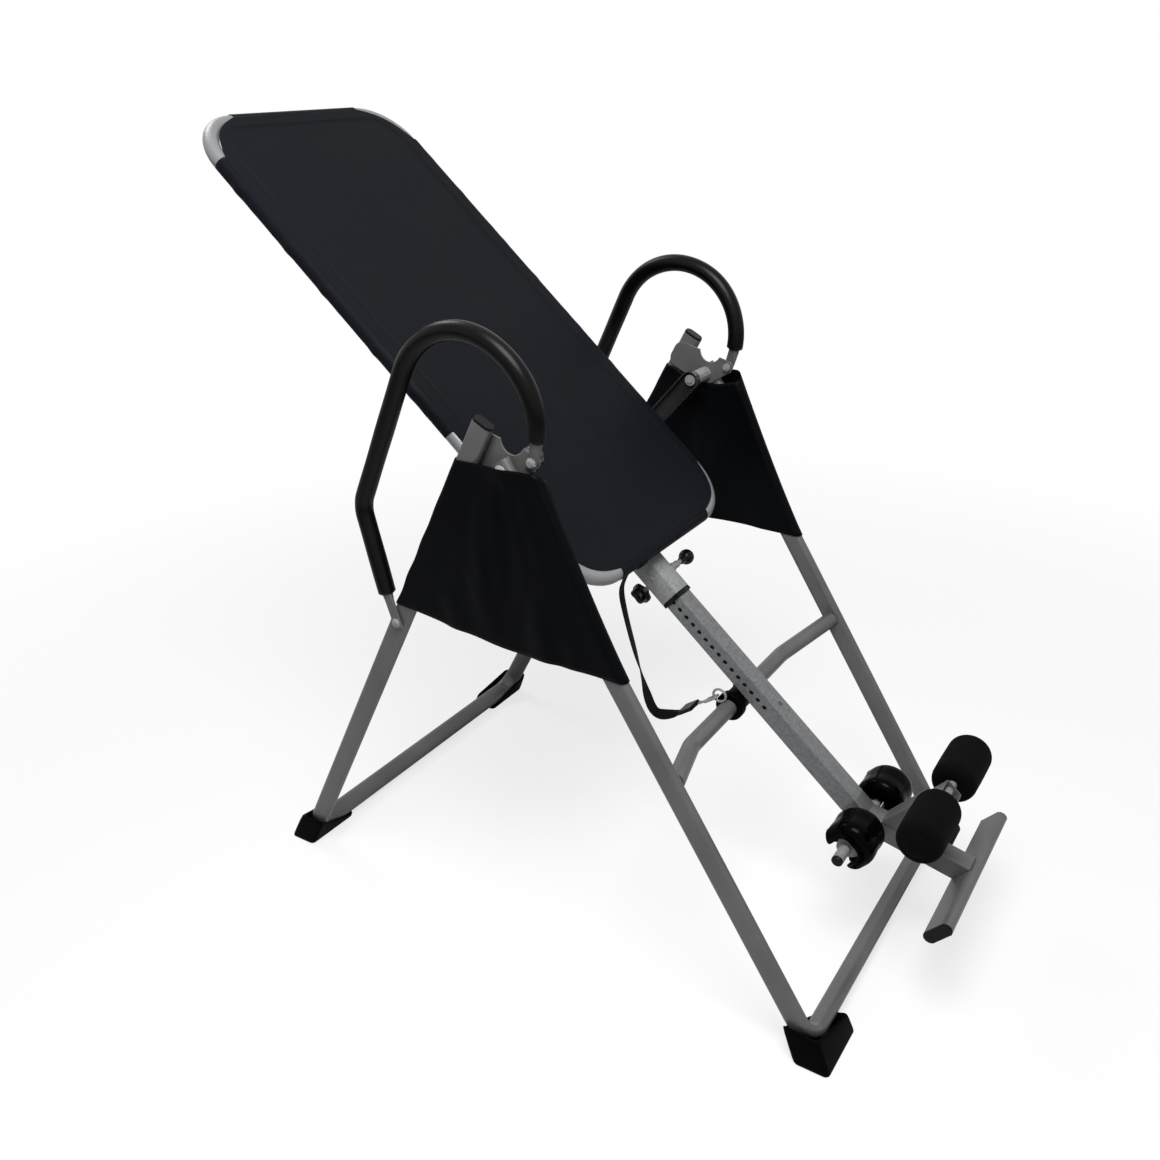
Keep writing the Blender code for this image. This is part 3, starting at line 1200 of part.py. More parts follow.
def tether():
    """Webbing from the foot of the bed down to a slider and on to a snap hook in the brace's ring. It twists on its
    way down, as slack webbing does."""
    line, way = strap_line()
    ways = np.gradient(line, axis=0)
    ways /= np.linalg.norm(ways, axis=1)[:, None]
    beside = np.column_stack([np.zeros(len(line)), -ways[:, 1], ways[:, 0]])
    share = np.linspace(0, 1, len(line))
    twist = STRAP_TWIST * np.sin(math.pi * np.clip(share / 0.6, 0, 1))
    half_w, half_t = STRAP_WIDTH / 2, STRAP_THICK / 2
    corners = ((half_w, half_t), (-half_w, half_t), (-half_w, -half_t), (half_w, -half_t))
    loops = []
    for (y, z), side, angle in zip(line, beside, twist):
        across = math.cos(angle) * np.array([1.0, 0.0, 0.0]) + math.sin(angle) * side
        through = math.cos(angle) * side - math.sin(angle) * np.array([1.0, 0.0, 0.0])
        middle = np.array([STRAP_X, y, z])
        loops.append([middle + across * w + through * t for w, t in corners])
    add("tether_strap", loft(loops), WEBBING, world)

    end = line[-1]
    lean = math.atan2(way[1], way[0])
    held = axis_frame("slider_frame", *(end - way * 0.8 * SLIDER_LENGTH), lean, STRAP_X)
    high = np.array([SLIDER_WIDTH, SLIDER_LENGTH, SLIDER_THICK]) / 2
    slider = add("tether_slider", box(-high, high), PLASTIC, held)
    slot_half = np.array([STRAP_WIDTH / 2 + GAP, SLIDER_LENGTH, STRAP_THICK / 2 + GAP])
    cut(slider, box(-slot_half, slot_half), held, "strap_slot")

    hook_frame = axis_frame("hook_frame", *(end + way * GAP), lean, STRAP_X)
    half = HOOK_WIDTH / 2
    loop_path = [
        (0, 0, 0),
        (0, HOOK_NECK, 0),
        (half, HOOK_NECK + half, 0),
        (half, HOOK_LENGTH, 0),
        (-half, HOOK_LENGTH, 0),
        (-half, HOOK_NECK + half, 0),
        (-1.5 * HOOK_WIRE, HOOK_NECK + 0.4 * half, 0),
    ]
    bent = round_corners(loop_path, 0.3 * half, 3)
    add("snap_hook", bar(bent, (0, 0, 1), circle(HOOK_WIRE, 8)), ZINC, hook_frame)


rear_frame()
front_frame()
rubber_feet()
hinge_brackets()
handles()
frame_bolts()
side_covers()
cross_brace()
boom_bumper()
tether_ring()
bed_tubes()
bed_cover()
pivot_arms()
boom_sleeve()
boom_lock()
boom_tube()
foot_post()
foot_bar()
heel_holder()
ankle_clamp()
tether()
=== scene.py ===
# %% [markdown]
# # Dressing a folding inversion table
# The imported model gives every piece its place. This lesson keeps that frame, looks at it from the
# photograph's camera, and then swaps the plain solids for smooth tubes, sewn cloth, foam and rubber.
# Each new piece is worked out with numpy as a grid of points, so its shape can be read as a formula.

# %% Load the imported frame
import json
import math

import bmesh
import bpy
import numpy as np
from mathutils import Matrix

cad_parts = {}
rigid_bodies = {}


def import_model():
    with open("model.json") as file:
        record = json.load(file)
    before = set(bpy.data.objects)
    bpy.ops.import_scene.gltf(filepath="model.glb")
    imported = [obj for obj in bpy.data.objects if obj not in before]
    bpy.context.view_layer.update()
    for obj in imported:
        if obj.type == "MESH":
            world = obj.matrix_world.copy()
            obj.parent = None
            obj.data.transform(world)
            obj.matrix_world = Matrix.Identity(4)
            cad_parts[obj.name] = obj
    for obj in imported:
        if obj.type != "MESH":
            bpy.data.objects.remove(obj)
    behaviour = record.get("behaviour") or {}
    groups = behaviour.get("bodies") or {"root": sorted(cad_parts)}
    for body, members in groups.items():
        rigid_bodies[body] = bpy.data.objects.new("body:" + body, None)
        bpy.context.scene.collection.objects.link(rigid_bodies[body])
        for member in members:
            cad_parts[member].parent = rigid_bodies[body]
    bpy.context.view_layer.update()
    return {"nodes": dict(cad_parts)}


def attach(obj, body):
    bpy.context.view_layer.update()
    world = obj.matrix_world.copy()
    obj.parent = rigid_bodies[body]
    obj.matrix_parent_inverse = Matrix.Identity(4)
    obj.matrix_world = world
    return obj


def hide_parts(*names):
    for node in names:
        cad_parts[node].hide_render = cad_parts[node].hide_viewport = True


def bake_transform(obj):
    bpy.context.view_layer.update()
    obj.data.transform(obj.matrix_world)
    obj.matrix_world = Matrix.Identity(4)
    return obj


for startup_object in list(bpy.data.objects):
    bpy.data.objects.remove(startup_object, do_unlink=True)
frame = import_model()
nodes = frame["nodes"]

# %% [markdown]
# The camera comes first. Its place and lens were solved from the photograph's straight tubes, so the
# render lines up with it. The matrix has the camera's right, up and backward directions as columns.

# %% Camera
CAMERA_AT = (-1.58507, -0.96148, 1.42619)
CAMERA_RIGHT = (0.54344, -0.83906, -0.02558)
CAMERA_UP = (0.36362, 0.20782, 0.90806)
CAMERA_AHEAD = (0.75660, 0.50278, -0.41804)
SENSOR_MM, LENS_MM = 36.0, 34.34
FAR_CLIP = 60.0


def placed(right, up, back, at):
    """A matrix with three directions and a place as its columns."""
    return Matrix([[c[i] for c in (right, up, back, at)] for i in range(3)] + [[0, 0, 0, 1]])


lens = bpy.data.cameras.new("photo_camera")
lens.sensor_width, lens.lens, lens.clip_end = SENSOR_MM, LENS_MM, FAR_CLIP
camera = bpy.data.objects.new("photo_camera", lens)
camera.matrix_world = placed(CAMERA_RIGHT, CAMERA_UP, [-a for a in CAMERA_AHEAD], CAMERA_AT)
bpy.context.scene.collection.objects.link(camera)
bpy.context.scene.camera = camera
print("camera lens", LENS_MM, "mm at", CAMERA_AT)

# %% [markdown]
# The bed, boom and foot rest all lie along one slanted line. It is easier to think in bed
# coordinates: across the bed, along it towards the head, and out of it. One function turns them into
# world points, and a second helper bends a line of corners with round arcs, as a tube bender does.

# %% Bed coordinates and bent lines
PIVOT = np.array([0.0, 0.0, 0.886])
BED_ANGLE = math.radians(41.5)
ACROSS = np.array([1.0, 0.0, 0.0])
ALONG_BED = np.array([0.0, math.cos(BED_ANGLE), math.sin(BED_ANGLE)])
OUT_OF_BED = np.array([0.0, -math.sin(BED_ANGLE), math.cos(BED_ANGLE)])
FOOT_TUBE_AT, HEAD_TUBE_AT, TUBE_OUT = -0.208, 0.836, -0.111
SIDES = (("L", 1), ("R", -1))


def on_bed(x, along, out):
    """World points: pivot + x times across + along times the bed's way + out times its normal."""
    x, along, out = np.broadcast_arrays(np.asarray(x, float), along, out)
    return PIVOT + x[..., None] * ACROSS + along[..., None] * ALONG_BED + out[..., None] * OUT_OF_BED


def unit(vector):
    vector = np.asarray(vector, float)
    return vector / np.linalg.norm(vector, axis=-1, keepdims=True)


def bent_line(corners, radius, steps=14):
    """The corners as one line. An arc of the given radius replaces each inner corner:
    centre + radius * (start direction * cos(angle) + travel direction * sin(angle))."""
    corners = np.asarray(corners, float)
    parts = [corners[:1]]
    for before, corner, after in zip(corners, corners[1:], corners[2:]):
        back, ahead = unit(before - corner), unit(after - corner)
        half = math.acos(float(np.clip(back @ ahead, -1, 1))) / 2
        centre = corner + unit(back + ahead) * radius / math.sin(half)
        first = unit(corner + back * radius / math.tan(half) - centre)
        angle = np.linspace(0, math.pi - 2 * half, steps)[:, None]
        parts.append(centre + radius * (np.cos(angle) * first - np.sin(angle) * back))
    return np.concatenate(parts + [corners[-1:]])


def gone_along(line):
    """Distance from the first point of a line to each of its points."""
    return np.concatenate([[0.0], np.cumsum(np.linalg.norm(np.diff(line, axis=0), axis=1))])


def ease(value):
    """Goes from 0 to 1 with level ends: 3 s^2 - 2 s^3, where s is the value kept within 0 and 1."""
    share = np.clip(value, 0, 1)
    return share**2 * (3 - 2 * share)


print("middle of the head tube:", np.round(on_bed(0, HEAD_TUBE_AT, TUBE_OUT), 3).tolist())

# %% [markdown]
# A mesh needs points and faces. A grid of points has an obvious set of quads, so one function can
# turn any number of grids into a piece, with a UV map measured in metres along the surface. Faces of
# a closed grid are turned outwards by the sign of its volume, and an open sheet by a given direction.

# %% From grids to pieces
PIECES = []
SMOOTH_BELOW = 40.0
WELD_WITHIN = 1e-5
CAP_UV_FROM, CAP_UV_SHARE = 0.001, 0.1


def grid_corners(rows, columns, ring):
    """Row and column of each quad's four corners. On a ring the last column joins the first."""
    last = columns if ring else columns - 1
    row, column = np.meshgrid(np.arange(rows - 1), np.arange(last), indexing="ij")
    row, column = row.reshape(-1, 1), column.reshape(-1, 1)
    return row + np.array([0, 0, 1, 1]), column + np.array([0, 1, 1, 0])


def patch(grid, ring=False, caps=False, facing=None):
    return {"grid": np.asarray(grid, float), "ring": ring, "caps": caps, "facing": facing}


def patch_faces(part):
    """Faces and UVs of one patch. U is the distance across its columns, V that along its rows."""
    grid, ring = part["grid"], part["ring"]
    rows, columns = grid.shape[:2]
    row, column = grid_corners(rows, columns, ring)
    quads = row * columns + column % columns
    closed = np.concatenate([grid, grid[:, :1]], 1) if ring else grid
    u, v = gone_along(closed[rows // 2]), gone_along(grid.mean(1))
    uv = np.stack([u[column], v[row]], -1)
    points = grid.reshape(-1, 3)
    corner = points[quads]
    normal = np.cross(corner[:, 2] - corner[:, 0], corner[:, 3] - corner[:, 1])
    if part["facing"] is not None:
        turned_in = (normal @ np.asarray(part["facing"], float)).sum() < 0
    else:
        turned_in = (normal * (corner.mean(1) - points.mean(0))).sum() < 0
    if turned_in:
        quads, uv = quads[:, ::-1], uv[:, ::-1]
    faces, face_uv = quads.tolist(), [uv.reshape(-1, 2)]
    if part["caps"]:
        first, last = np.arange(columns), np.arange(columns) + (rows - 1) * columns
        for rim, flip in ((first, turned_in), (last, not turned_in)):
            rim = rim if flip else rim[::-1]
            faces.append(rim.tolist())
            face_uv.append(np.full((columns, 2), CAP_UV_FROM) + u[rim % columns][:, None] * CAP_UV_SHARE)
    return points, faces, np.concatenate(face_uv)


def put(name, mesh, finish, crease):
    """Shades a mesh, smooth below the crease angle, and puts it in the scene with its finish."""
    mesh.shade_smooth()
    mesh.set_sharp_from_angle(angle=math.radians(crease))
    mesh.materials.clear()
    mesh.materials.append(finish)
    piece = bpy.data.objects.new(name, mesh)
    bpy.context.scene.collection.objects.link(piece)
    PIECES.append(piece)
    return piece


def make_piece(name, finish, *patches, weld=False, crease=SMOOTH_BELOW):
    """One object from its patches. Welding joins points that share a place."""
    points, faces, uv, count = [], [], [], 0
    for part in patches:
        p, f, t = patch_faces(part)
        points.append(p)
        faces += [[i + count for i in face] for face in f]
        uv.append(t)
        count += len(p)
    mesh = bpy.data.meshes.new(name)
    mesh.from_pydata(np.concatenate(points).tolist(), [], faces)
    layer = mesh.uv_layers.new(name="UVMap")
    layer.data.foreach_set("uv", np.concatenate(uv).astype(np.float32).ravel())
    if weld:
        welded = bmesh.new()
        welded.from_mesh(mesh)
        bmesh.ops.remove_doubles(welded, verts=welded.verts, dist=WELD_WITHIN)
        welded.to_mesh(mesh)
        welded.free()
    return put(name, mesh, finish, crease)


# %% [markdown]
# Most of this object is tube. A tube is a flat outline carried along a line: at every point of the
# line one direction stays across, and the other is square to both it and the line. Rods, bolts and
# foam are turned shapes instead: a profile of radius and distance that goes round an axis.

# %% Outlines, carried tubes and turned shapes
ROUND_POINTS, TURNED_POINTS = 40, 48
OFF_EVERY_AXIS = (0.31, 0.52, 0.79)


def around(angle):
    """(cos(angle), sin(angle))."""
    return np.stack([np.cos(angle), np.sin(angle)], -1)


def rotated(flat, angle):
    """Flat points turned by an angle: (x cos - y sin, x sin + y cos)."""
    x, y, cos, sin = flat[..., 0], flat[..., 1], np.cos(angle), np.sin(angle)
    return np.stack([cos * x - sin * y, sin * x + cos * y], -1)


def circle(radius, count=ROUND_POINTS):
    """radius * (cos(angle), sin(angle)), half a step off the axes."""
    return radius * around((np.arange(count) + 0.5) * 2 * math.pi / count)


def oval(wide, tall, count=ROUND_POINTS):
    """A flat oval: a circle of the smaller size whose halves are moved apart along the longer one."""
    apart = np.array([max(wide - tall, 0), max(tall - wide, 0)]) / 2
    round_part = circle(min(wide, tall) / 2, count)
    return round_part + np.sign(round_part) * apart


def carry(line, outline, across):
    """point = line + outline's first number along across + its second along travel x across."""
    line = np.asarray(line, float)
    travel = unit(np.gradient(line, axis=0))
    side = np.broadcast_to(np.asarray(across, float), line.shape)
    side = unit(side - (side * travel).sum(1, keepdims=True) * travel)
    up = np.cross(travel, side)
    outline = np.broadcast_to(outline, (len(line),) + np.shape(outline)[-2:])
    return line[:, None] + outline[..., :1] * side[:, None] + outline[..., 1:] * up[:, None]


def turned(profile, centre, axis, count=TURNED_POINTS):
    """point = centre + distance along axis + radius * (cos(angle), sin(angle)) round it."""
    profile = np.asarray(profile, float)
    axis = unit(axis)
    first = unit(np.cross(axis, OFF_EVERY_AXIS))
    second = np.cross(axis, first)
    angle = np.arange(count)[:, None] * 2 * math.pi / count
    spokes = np.cos(angle) * first + np.sin(angle) * second
    return np.asarray(centre, float) + profile[:, None, 1:] * axis + profile[:, None, :1] * spokes


# %% [markdown]
# Finishes are node trees. A helper makes nodes and wires them in one line each, and values that are
# the same all over a surface sit on the shader's own sockets. The silver paint is a satin grey with
# very fine flakes and a slight orange peel, which is what makes sprayed tube look like metal. The
# bed's tubes get a paler copy of the same paint: painted light, for their tops that catch more lamp light.

# %% Paint for the frame
GREY_DARK, GREY_LIGHT = (0.086, 0.087, 0.084), (0.132, 0.134, 0.130)
# Paler colours for the bed's tubes: the same paint with painted light.
BED_PAINTED_LIGHT_DARK, BED_PAINTED_LIGHT_BRIGHT = (0.185, 0.187, 0.189), (0.255, 0.258, 0.262)
FLAKE_SCALE, CLOUD_SCALE, PEEL_SCALE = 1400.0, 9.0, 420.0
NOISE_LOW, NOISE_HIGH = 0.3, 0.7


def node(tree, kind, wires=None, **settings):
    made = tree.nodes.new(kind)
    for key, value in settings.items():
        setattr(made, key, value)
    for socket, value in (wires or {}).items():
        if isinstance(value, bpy.types.NodeSocket):
            tree.links.new(value, made.inputs[socket])
        else:
            made.inputs[socket].default_value = value
    return made


def calc(tree, kind, *values):
    """One step of arithmetic on the surface, as a Math node."""
    return node(tree, "ShaderNodeMath", dict(enumerate(values)), operation=kind).outputs["Value"]


def start_finish(name, colour, roughness, metallic=0.0, **sockets):
    made = bpy.data.materials.new(name)
    made.use_nodes = True
    made.diffuse_color = (*colour, 1.0)
    tree = made.node_tree
    shader = tree.nodes["Principled BSDF"]
    shader.inputs["Base Color"].default_value = (*colour, 1.0)
    shader.inputs["Roughness"].default_value = roughness
    shader.inputs["Metallic"].default_value = metallic
    for socket, value in sockets.items():
        shader.inputs[socket.replace("_", " ")].default_value = value
    return made, tree, shader


def ramp(tree, value, *stops):
    made = tree.nodes.new("ShaderNodeValToRGB")
    for element, (place, colour) in zip(made.color_ramp.elements, stops):
        element.position, element.color = place, (*colour, 1.0)
    tree.links.new(value, made.inputs["Fac"])
    return made.outputs["Color"]


def noise(tree, vector, scale, detail=3.0):
    wires = {"Vector": vector, "Scale": scale, "Detail": detail}
    return node(tree, "ShaderNodeTexNoise", wires).outputs["Fac"]


def spread(tree, value, low, high):
    """Maps the middle of a noise onto low to high."""
    wires = {"Value": value, "From Min": NOISE_LOW, "From Max": NOISE_HIGH, "To Min": low, "To Max": high}
    return node(tree, "ShaderNodeMapRange", wires).outputs["Result"]


def wire_up(tree, shader, colour, roughness, height, strength, distance):
    """Feeds a colour, a roughness and a bump's height into the shader."""
    bump = node(tree, "ShaderNodeBump", {"Height": height, "Strength": strength, "Distance": distance})
    feeds = {"Base Color": colour, "Roughness": roughness, "Normal": bump.outputs["Normal"]}
    for socket, value in feeds.items():
        tree.links.new(value, shader.inputs[socket])


def coordinates(tree):
    return tree.nodes.new("ShaderNodeTexCoord").outputs


def silver_paint(name, dark, light):
    made, tree, shader = start_finish(name, light, 0.4, 0.30, Specular_IOR_Level=0.3)
    place = coordinates(tree)["Object"]
    clouds = noise(tree, place, CLOUD_SCALE, 4.0)
    both = calc(tree, "MULTIPLY", noise(tree, place, FLAKE_SCALE, 2.0), clouds)
    colour = ramp(tree, both, (0.12, dark), (0.42, light))
    peel = noise(tree, place, PEEL_SCALE, 1.0)
    wire_up(tree, shader, colour, spread(tree, clouds, 0.34, 0.46), peel, 0.05, 0.0004)
    return made


PAINT = silver_paint("silver_frame_paint", GREY_DARK, GREY_LIGHT)
# A paler copy of the frame paint for the bed's tubes, as painted light.
BED_PAINT_PAINTED_LIGHT = silver_paint("bed_paint_painted_light", BED_PAINTED_LIGHT_DARK, BED_PAINTED_LIGHT_BRIGHT)
print("finishes:", PAINT.name, BED_PAINT_PAINTED_LIGHT.name)

# %% [markdown]
# Zinc plating shows spangle: crystals a few millimetres across that each reflect a little
# differently. Voronoi cells give that. The boom also has a printed height scale on its top face. It
# is kept to bare tick marks, placed by the distance along the bed, and only where the face looks out.
# Each row of ticks has a pitch, a thickness and the span of x that it fills.

# %% Zinc, plain and with the height scale
ZINC_DARK, ZINC_LIGHT = (0.205, 0.208, 0.209), (0.262, 0.266, 0.267)
BOOM_DARK, BOOM_LIGHT = (0.128, 0.131, 0.134), (0.172, 0.176, 0.181)
SPANGLE_SCALE, PITTING_SCALE, WEAR_SCALE = 260.0, 500.0, 160.0
HOLE_PITCH = 0.0174
LAST_HOLE_AT = -0.5476
SCALE_FROM, SCALE_TO = -0.585, -0.20
TICK_COLOUR = (0.09, 0.09, 0.095)
TICK_ROWS = (
    (HOLE_PITCH / 2, 0.0011, -0.0145, -0.009),
    (HOLE_PITCH, 0.0014, -0.0145, -0.001),
    (HOLE_PITCH, 0.006, 0.003, 0.0065),
)
LOOKS_OUT = 0.9


def height_scale(tree, sockets, colour):
    """Mixes worn tick marks into a colour."""
    place = sockets["Object"]

    def dot(vector, way):
        wires = {0: vector, 1: tuple(way)}
        return node(tree, "ShaderNodeVectorMath", wires, operation="DOT_PRODUCT").outputs["Value"]

    def between(value, low, high):
        above, below = calc(tree, "GREATER_THAN", value, low), calc(tree, "LESS_THAN", value, high)
        return calc(tree, "MULTIPLY", above, below)

    along = calc(tree, "SUBTRACT", dot(place, ALONG_BED), float(PIVOT @ ALONG_BED) + LAST_HOLE_AT)
    x = dot(place, ACROSS)
    marks = 0.0
    for pitch, thick, x_from, x_to in TICK_ROWS:
        share = calc(tree, "FRACT", calc(tree, "DIVIDE", along, pitch))
        row = calc(tree, "MULTIPLY", calc(tree, "LESS_THAN", share, thick / pitch), between(x, x_from, x_to))
        marks = calc(tree, "MAXIMUM", marks, row)
    upwards = calc(tree, "GREATER_THAN", dot(sockets["Normal"], OUT_OF_BED), LOOKS_OUT)
    inside = between(along, SCALE_FROM - LAST_HOLE_AT, SCALE_TO - LAST_HOLE_AT)
    for limit in (upwards, inside, spread(tree, noise(tree, place, WEAR_SCALE), 0.25, 0.85)):
        marks = calc(tree, "MULTIPLY", marks, limit)
    wires = {0: marks, 6: colour, 7: (*TICK_COLOUR, 1.0)}
    return node(tree, "ShaderNodeMix", wires, data_type="RGBA").outputs[2]


def zinc(name, dark, light, with_scale=False):
    made, tree, shader = start_finish(name, light, 0.36, 0.12, Specular_IOR_Level=0.15)
    sockets = coordinates(tree)
    place = sockets["Object"]
    cells = node(tree, "ShaderNodeTexVoronoi", {"Vector": place, "Scale": SPANGLE_SCALE}).outputs["Color"]
    grey = node(tree, "ShaderNodeRGBToBW", {"Color": cells}).outputs["Val"]
    colour = ramp(tree, grey, (0.15, dark), (0.8, light))
    if with_scale:
        colour = height_scale(tree, sockets, colour)
    wires = {"Value": grey, "To Min": 0.32, "To Max": 0.42}
    gloss = node(tree, "ShaderNodeMapRange", wires).outputs["Result"]
    wire_up(tree, shader, colour, gloss, noise(tree, place, PITTING_SCALE, 2.0), 0.06, 0.0004)
    return made


ZINC = zinc("spangled_zinc", ZINC_DARK, ZINC_LIGHT)
BOOM_ZINC = zinc("boom_zinc_with_scale", BOOM_DARK, BOOM_LIGHT, with_scale=True)
print("finishes:", ZINC.name, BOOM_ZINC.name)

# %% [markdown]
# The dark finishes differ mostly in how they take light. Nylon has a weave, roller foam is dull and
# full of fine pores, grip foam has a smooth skin, moulded rubber a fine grain, and the heel pads a
# glossy dipped skin. Each gets its own grain size, in metres. A wave texture of scale 1 repeats
# every 0.314 m, which turns the size of a thread into a scale.

# %% Cloth, foam, rubber and plastic
WAVE_REPEAT = 0.314
CLOTH_CLOUDS, GRAIN_CLOUDS = 7.0, 18.0
WEAVE_SHARE = 0.35


def woven(name, dark, light, roughness, thread, bump_strength, shine):
    """A plain weave: two sets of bands across the UV map, one thread apart."""
    made, tree, shader = start_finish(name, light, roughness, Specular_IOR_Level=shine)
    sockets = coordinates(tree)
    wires = {"Vector": sockets["UV"], "Scale": WAVE_REPEAT / thread, "Distortion": 0.6, "Detail": 1.0}
    bands = [
        node(tree, "ShaderNodeTexWave", wires, wave_type="BANDS", bands_direction=way).outputs["Fac"]
        for way in ("X", "Y")
    ]
    weave = calc(tree, "MULTIPLY", *bands)
    cloudy = noise(tree, sockets["Object"], CLOTH_CLOUDS)
    both = calc(tree, "MULTIPLY_ADD", weave, WEAVE_SHARE, cloudy)
    colour = ramp(tree, both, (0.35, dark), (0.95, light))
    gloss = spread(tree, cloudy, roughness - 0.06, roughness + 0.06)
    wire_up(tree, shader, colour, gloss, weave, bump_strength, 0.0003)
    return made


def grained(name, colour, roughness, grain, bump_strength, shine, pores=False):
    """A moulded or foamed black: fine noise, or Voronoi pores, in the bump and in the gloss."""
    made, tree, shader = start_finish(name, colour, roughness, Specular_IOR_Level=shine)
    place = coordinates(tree)["Object"]
    if pores:
        height = node(tree, "ShaderNodeTexVoronoi", {"Vector": place, "Scale": 1 / grain}).outputs["Distance"]
    else:
        height = noise(tree, place, 1 / grain, 2.0)
    wide = noise(tree, place, GRAIN_CLOUDS, 4.0)
    darker, lighter = (tuple(share * c for c in colour) for share in (0.7, 1.35))
    mixed = ramp(tree, wide, (NOISE_LOW, darker), (NOISE_HIGH, lighter))
    gloss = spread(tree, wide, roughness - 0.05, roughness + 0.05)
    wire_up(tree, shader, mixed, gloss, height, bump_strength, 0.0005)
    return made


BED_NYLON = woven("bed_nylon", (0.0028, 0.0032, 0.0050), (0.0047, 0.0053, 0.0084), 0.58, 0.0011, 0.25, 0.06)
# The side covers' nylon is darker than the bed's: partly its own darker cloth, partly painted shade for sides
# that get less lamp light.
SIDE_NYLON_PAINTED_SHADE = woven("side_nylon_painted_shade", (0.0008, 0.0010, 0.0015), (0.0020, 0.0023, 0.0034), 0.46, 0.0009, 0.2, 0.035)
WEBBING = woven("tether_webbing", (0.0025, 0.0025, 0.0028), (0.0055, 0.0055, 0.006), 0.7, 0.0016, 0.6, 0.06)
THREAD = grained("seam_thread", (0.008, 0.008, 0.010), 0.6, 0.0006, 0.3, 0.1)
ROLLER_FOAM = grained("roller_foam", (0.0017, 0.0017, 0.0018), 0.9, 0.0011, 0.5, 0.05, pores=True)
GRIP_FOAM = grained("grip_foam", (0.0014, 0.0014, 0.0016), 0.30, 0.0006, 0.10, 0.11)
HEEL_SKIN = grained("heel_pad_skin", (0.0005, 0.0005, 0.0006), 0.18, 0.0018, 0.05, 0.028)
BOOT_RUBBER = grained("boot_rubber", (0.0008, 0.0008, 0.0009), 0.5, 0.0008, 0.25, 0.02)
CAP_PLASTIC = grained("cap_plastic", (0.0024, 0.0024, 0.0026), 0.30, 0.0009, 0.12, 0.12)
ARM_PAINT = grained("black_arm_paint", (0.0170, 0.0173, 0.0180), 0.22, 0.0012, 0.06, 0.6)
print("dark finishes:", [m.name for m in (BED_NYLON, SIDE_NYLON_PAINTED_SHADE, ROLLER_FOAM, GRIP_FOAM, HEEL_SKIN)])

# %% [markdown]
# A slot is the name that the imported model gives a finish, and the first finish listed for it is the
# one that solids with that slot get. A new piece is tied to the body that it moves with, and it hides
# the plain solids that it stands for.

# %% Slots and dressed pieces
SLOT_FINISHES = {
    "grey_painted_steel": (PAINT, BED_PAINT_PAINTED_LIGHT),
    "zinc_plated_steel": (ZINC, BOOM_ZINC),
    "black_painted_steel": (ARM_PAINT,),
    "black_rubber": (BOOT_RUBBER, HEEL_SKIN),
    "black_plastic": (CAP_PLASTIC,),
    "black_foam": (ROLLER_FOAM,),
    "black_grip_foam": (GRIP_FOAM,),
    "black_nylon_cloth": (BED_NYLON, SIDE_NYLON_PAINTED_SHADE, THREAD),
    "black_webbing": (WEBBING,),
}


def dress(piece, body, *stands_for):
    """Ties a piece to its body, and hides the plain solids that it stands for."""
    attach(piece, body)
    if stands_for:
        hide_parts(*stands_for)
    return piece


def add(name, finish, grid, body, *stands_for, caps=True, **settings):
    """A dressed piece from one grid that closes on itself, with its ends capped or left open."""
    return dress(make_piece(name, finish, patch(grid, ring=True, caps=caps), **settings), body, *stands_for)


# %% [markdown]
# The tether is the only free cord: flat webbing from the foot of the bed to a snap hook on the
# brace. It hangs slack with a twist. It is made before the rest, because its route decides the room
# that it needs. A rounded flat outline is carried along its line and turned by a list of stops, each
# a share of the length and an angle: it hangs edge on, and lies on edge along its lowest run.

# %% Tether strap
STRAP_X, STRAP_TOP_X = -0.052, -0.083
STRAP_WIDTH, STRAP_THICK = 0.022, 0.002
STRAP_WRAP = math.radians(-105.0)
STRAP_CROSSES_BY = 0.72
STRAP_TURNS = (
    (0.0, 0), (0.08, -6), (0.28, -14), (0.46, -21), (0.60, -54),
    (0.68, -82), (0.80, -88), (0.93, -8), (1.0, 0),
)
STRAP_ROUTE = (
    (-0.0741, 0.65077), (-0.0560, 0.6190), (-0.0470, 0.5900), (-0.0510, 0.5450),
    (-0.0640, 0.4800), (-0.0800, 0.4150), (-0.0920, 0.3650), (-0.1050, 0.3470),
    (-0.1250, 0.3500), (-0.1500, 0.3640), (-0.19009, 0.39258),
)


def smooth_line(points, steps):
    """A Catmull-Rom line: between two points a cubic whose ends run along their neighbours."""
    points = np.asarray(points, float)
    more = np.concatenate([[2 * points[0] - points[1]], points, [2 * points[-1] - points[-2]]])
    t = np.arange(steps)[:, None] / steps
    parts = []
    for a, b, c, d in zip(more, more[1:], more[2:], more[3:]):
        cubic = 2 * b + (c - a) * t + (2 * a - 5 * b + 4 * c - d) * t**2 + (3 * b - a - 3 * c + d) * t**3
        parts.append(0.5 * cubic)
    return np.concatenate(parts + [points[-1:]])


def tether_line():
    """An arc under the foot tube, then the hanging route down to the hook."""
    hanging = smooth_line(STRAP_ROUTE, 9)
    hub = on_bed(0, FOOT_TUBE_AT, TUBE_OUT)[1:]
    wrap = rotated(hanging[0] - hub, np.linspace(STRAP_WRAP, 0, 16)[:-1])
    flat = np.concatenate([hub + wrap, hanging])
    down = ease((np.arange(len(flat)) - len(wrap)) / (STRAP_CROSSES_BY * len(hanging)))
    return np.column_stack([STRAP_TOP_X + (STRAP_X - STRAP_TOP_X) * down, flat]), len(wrap)


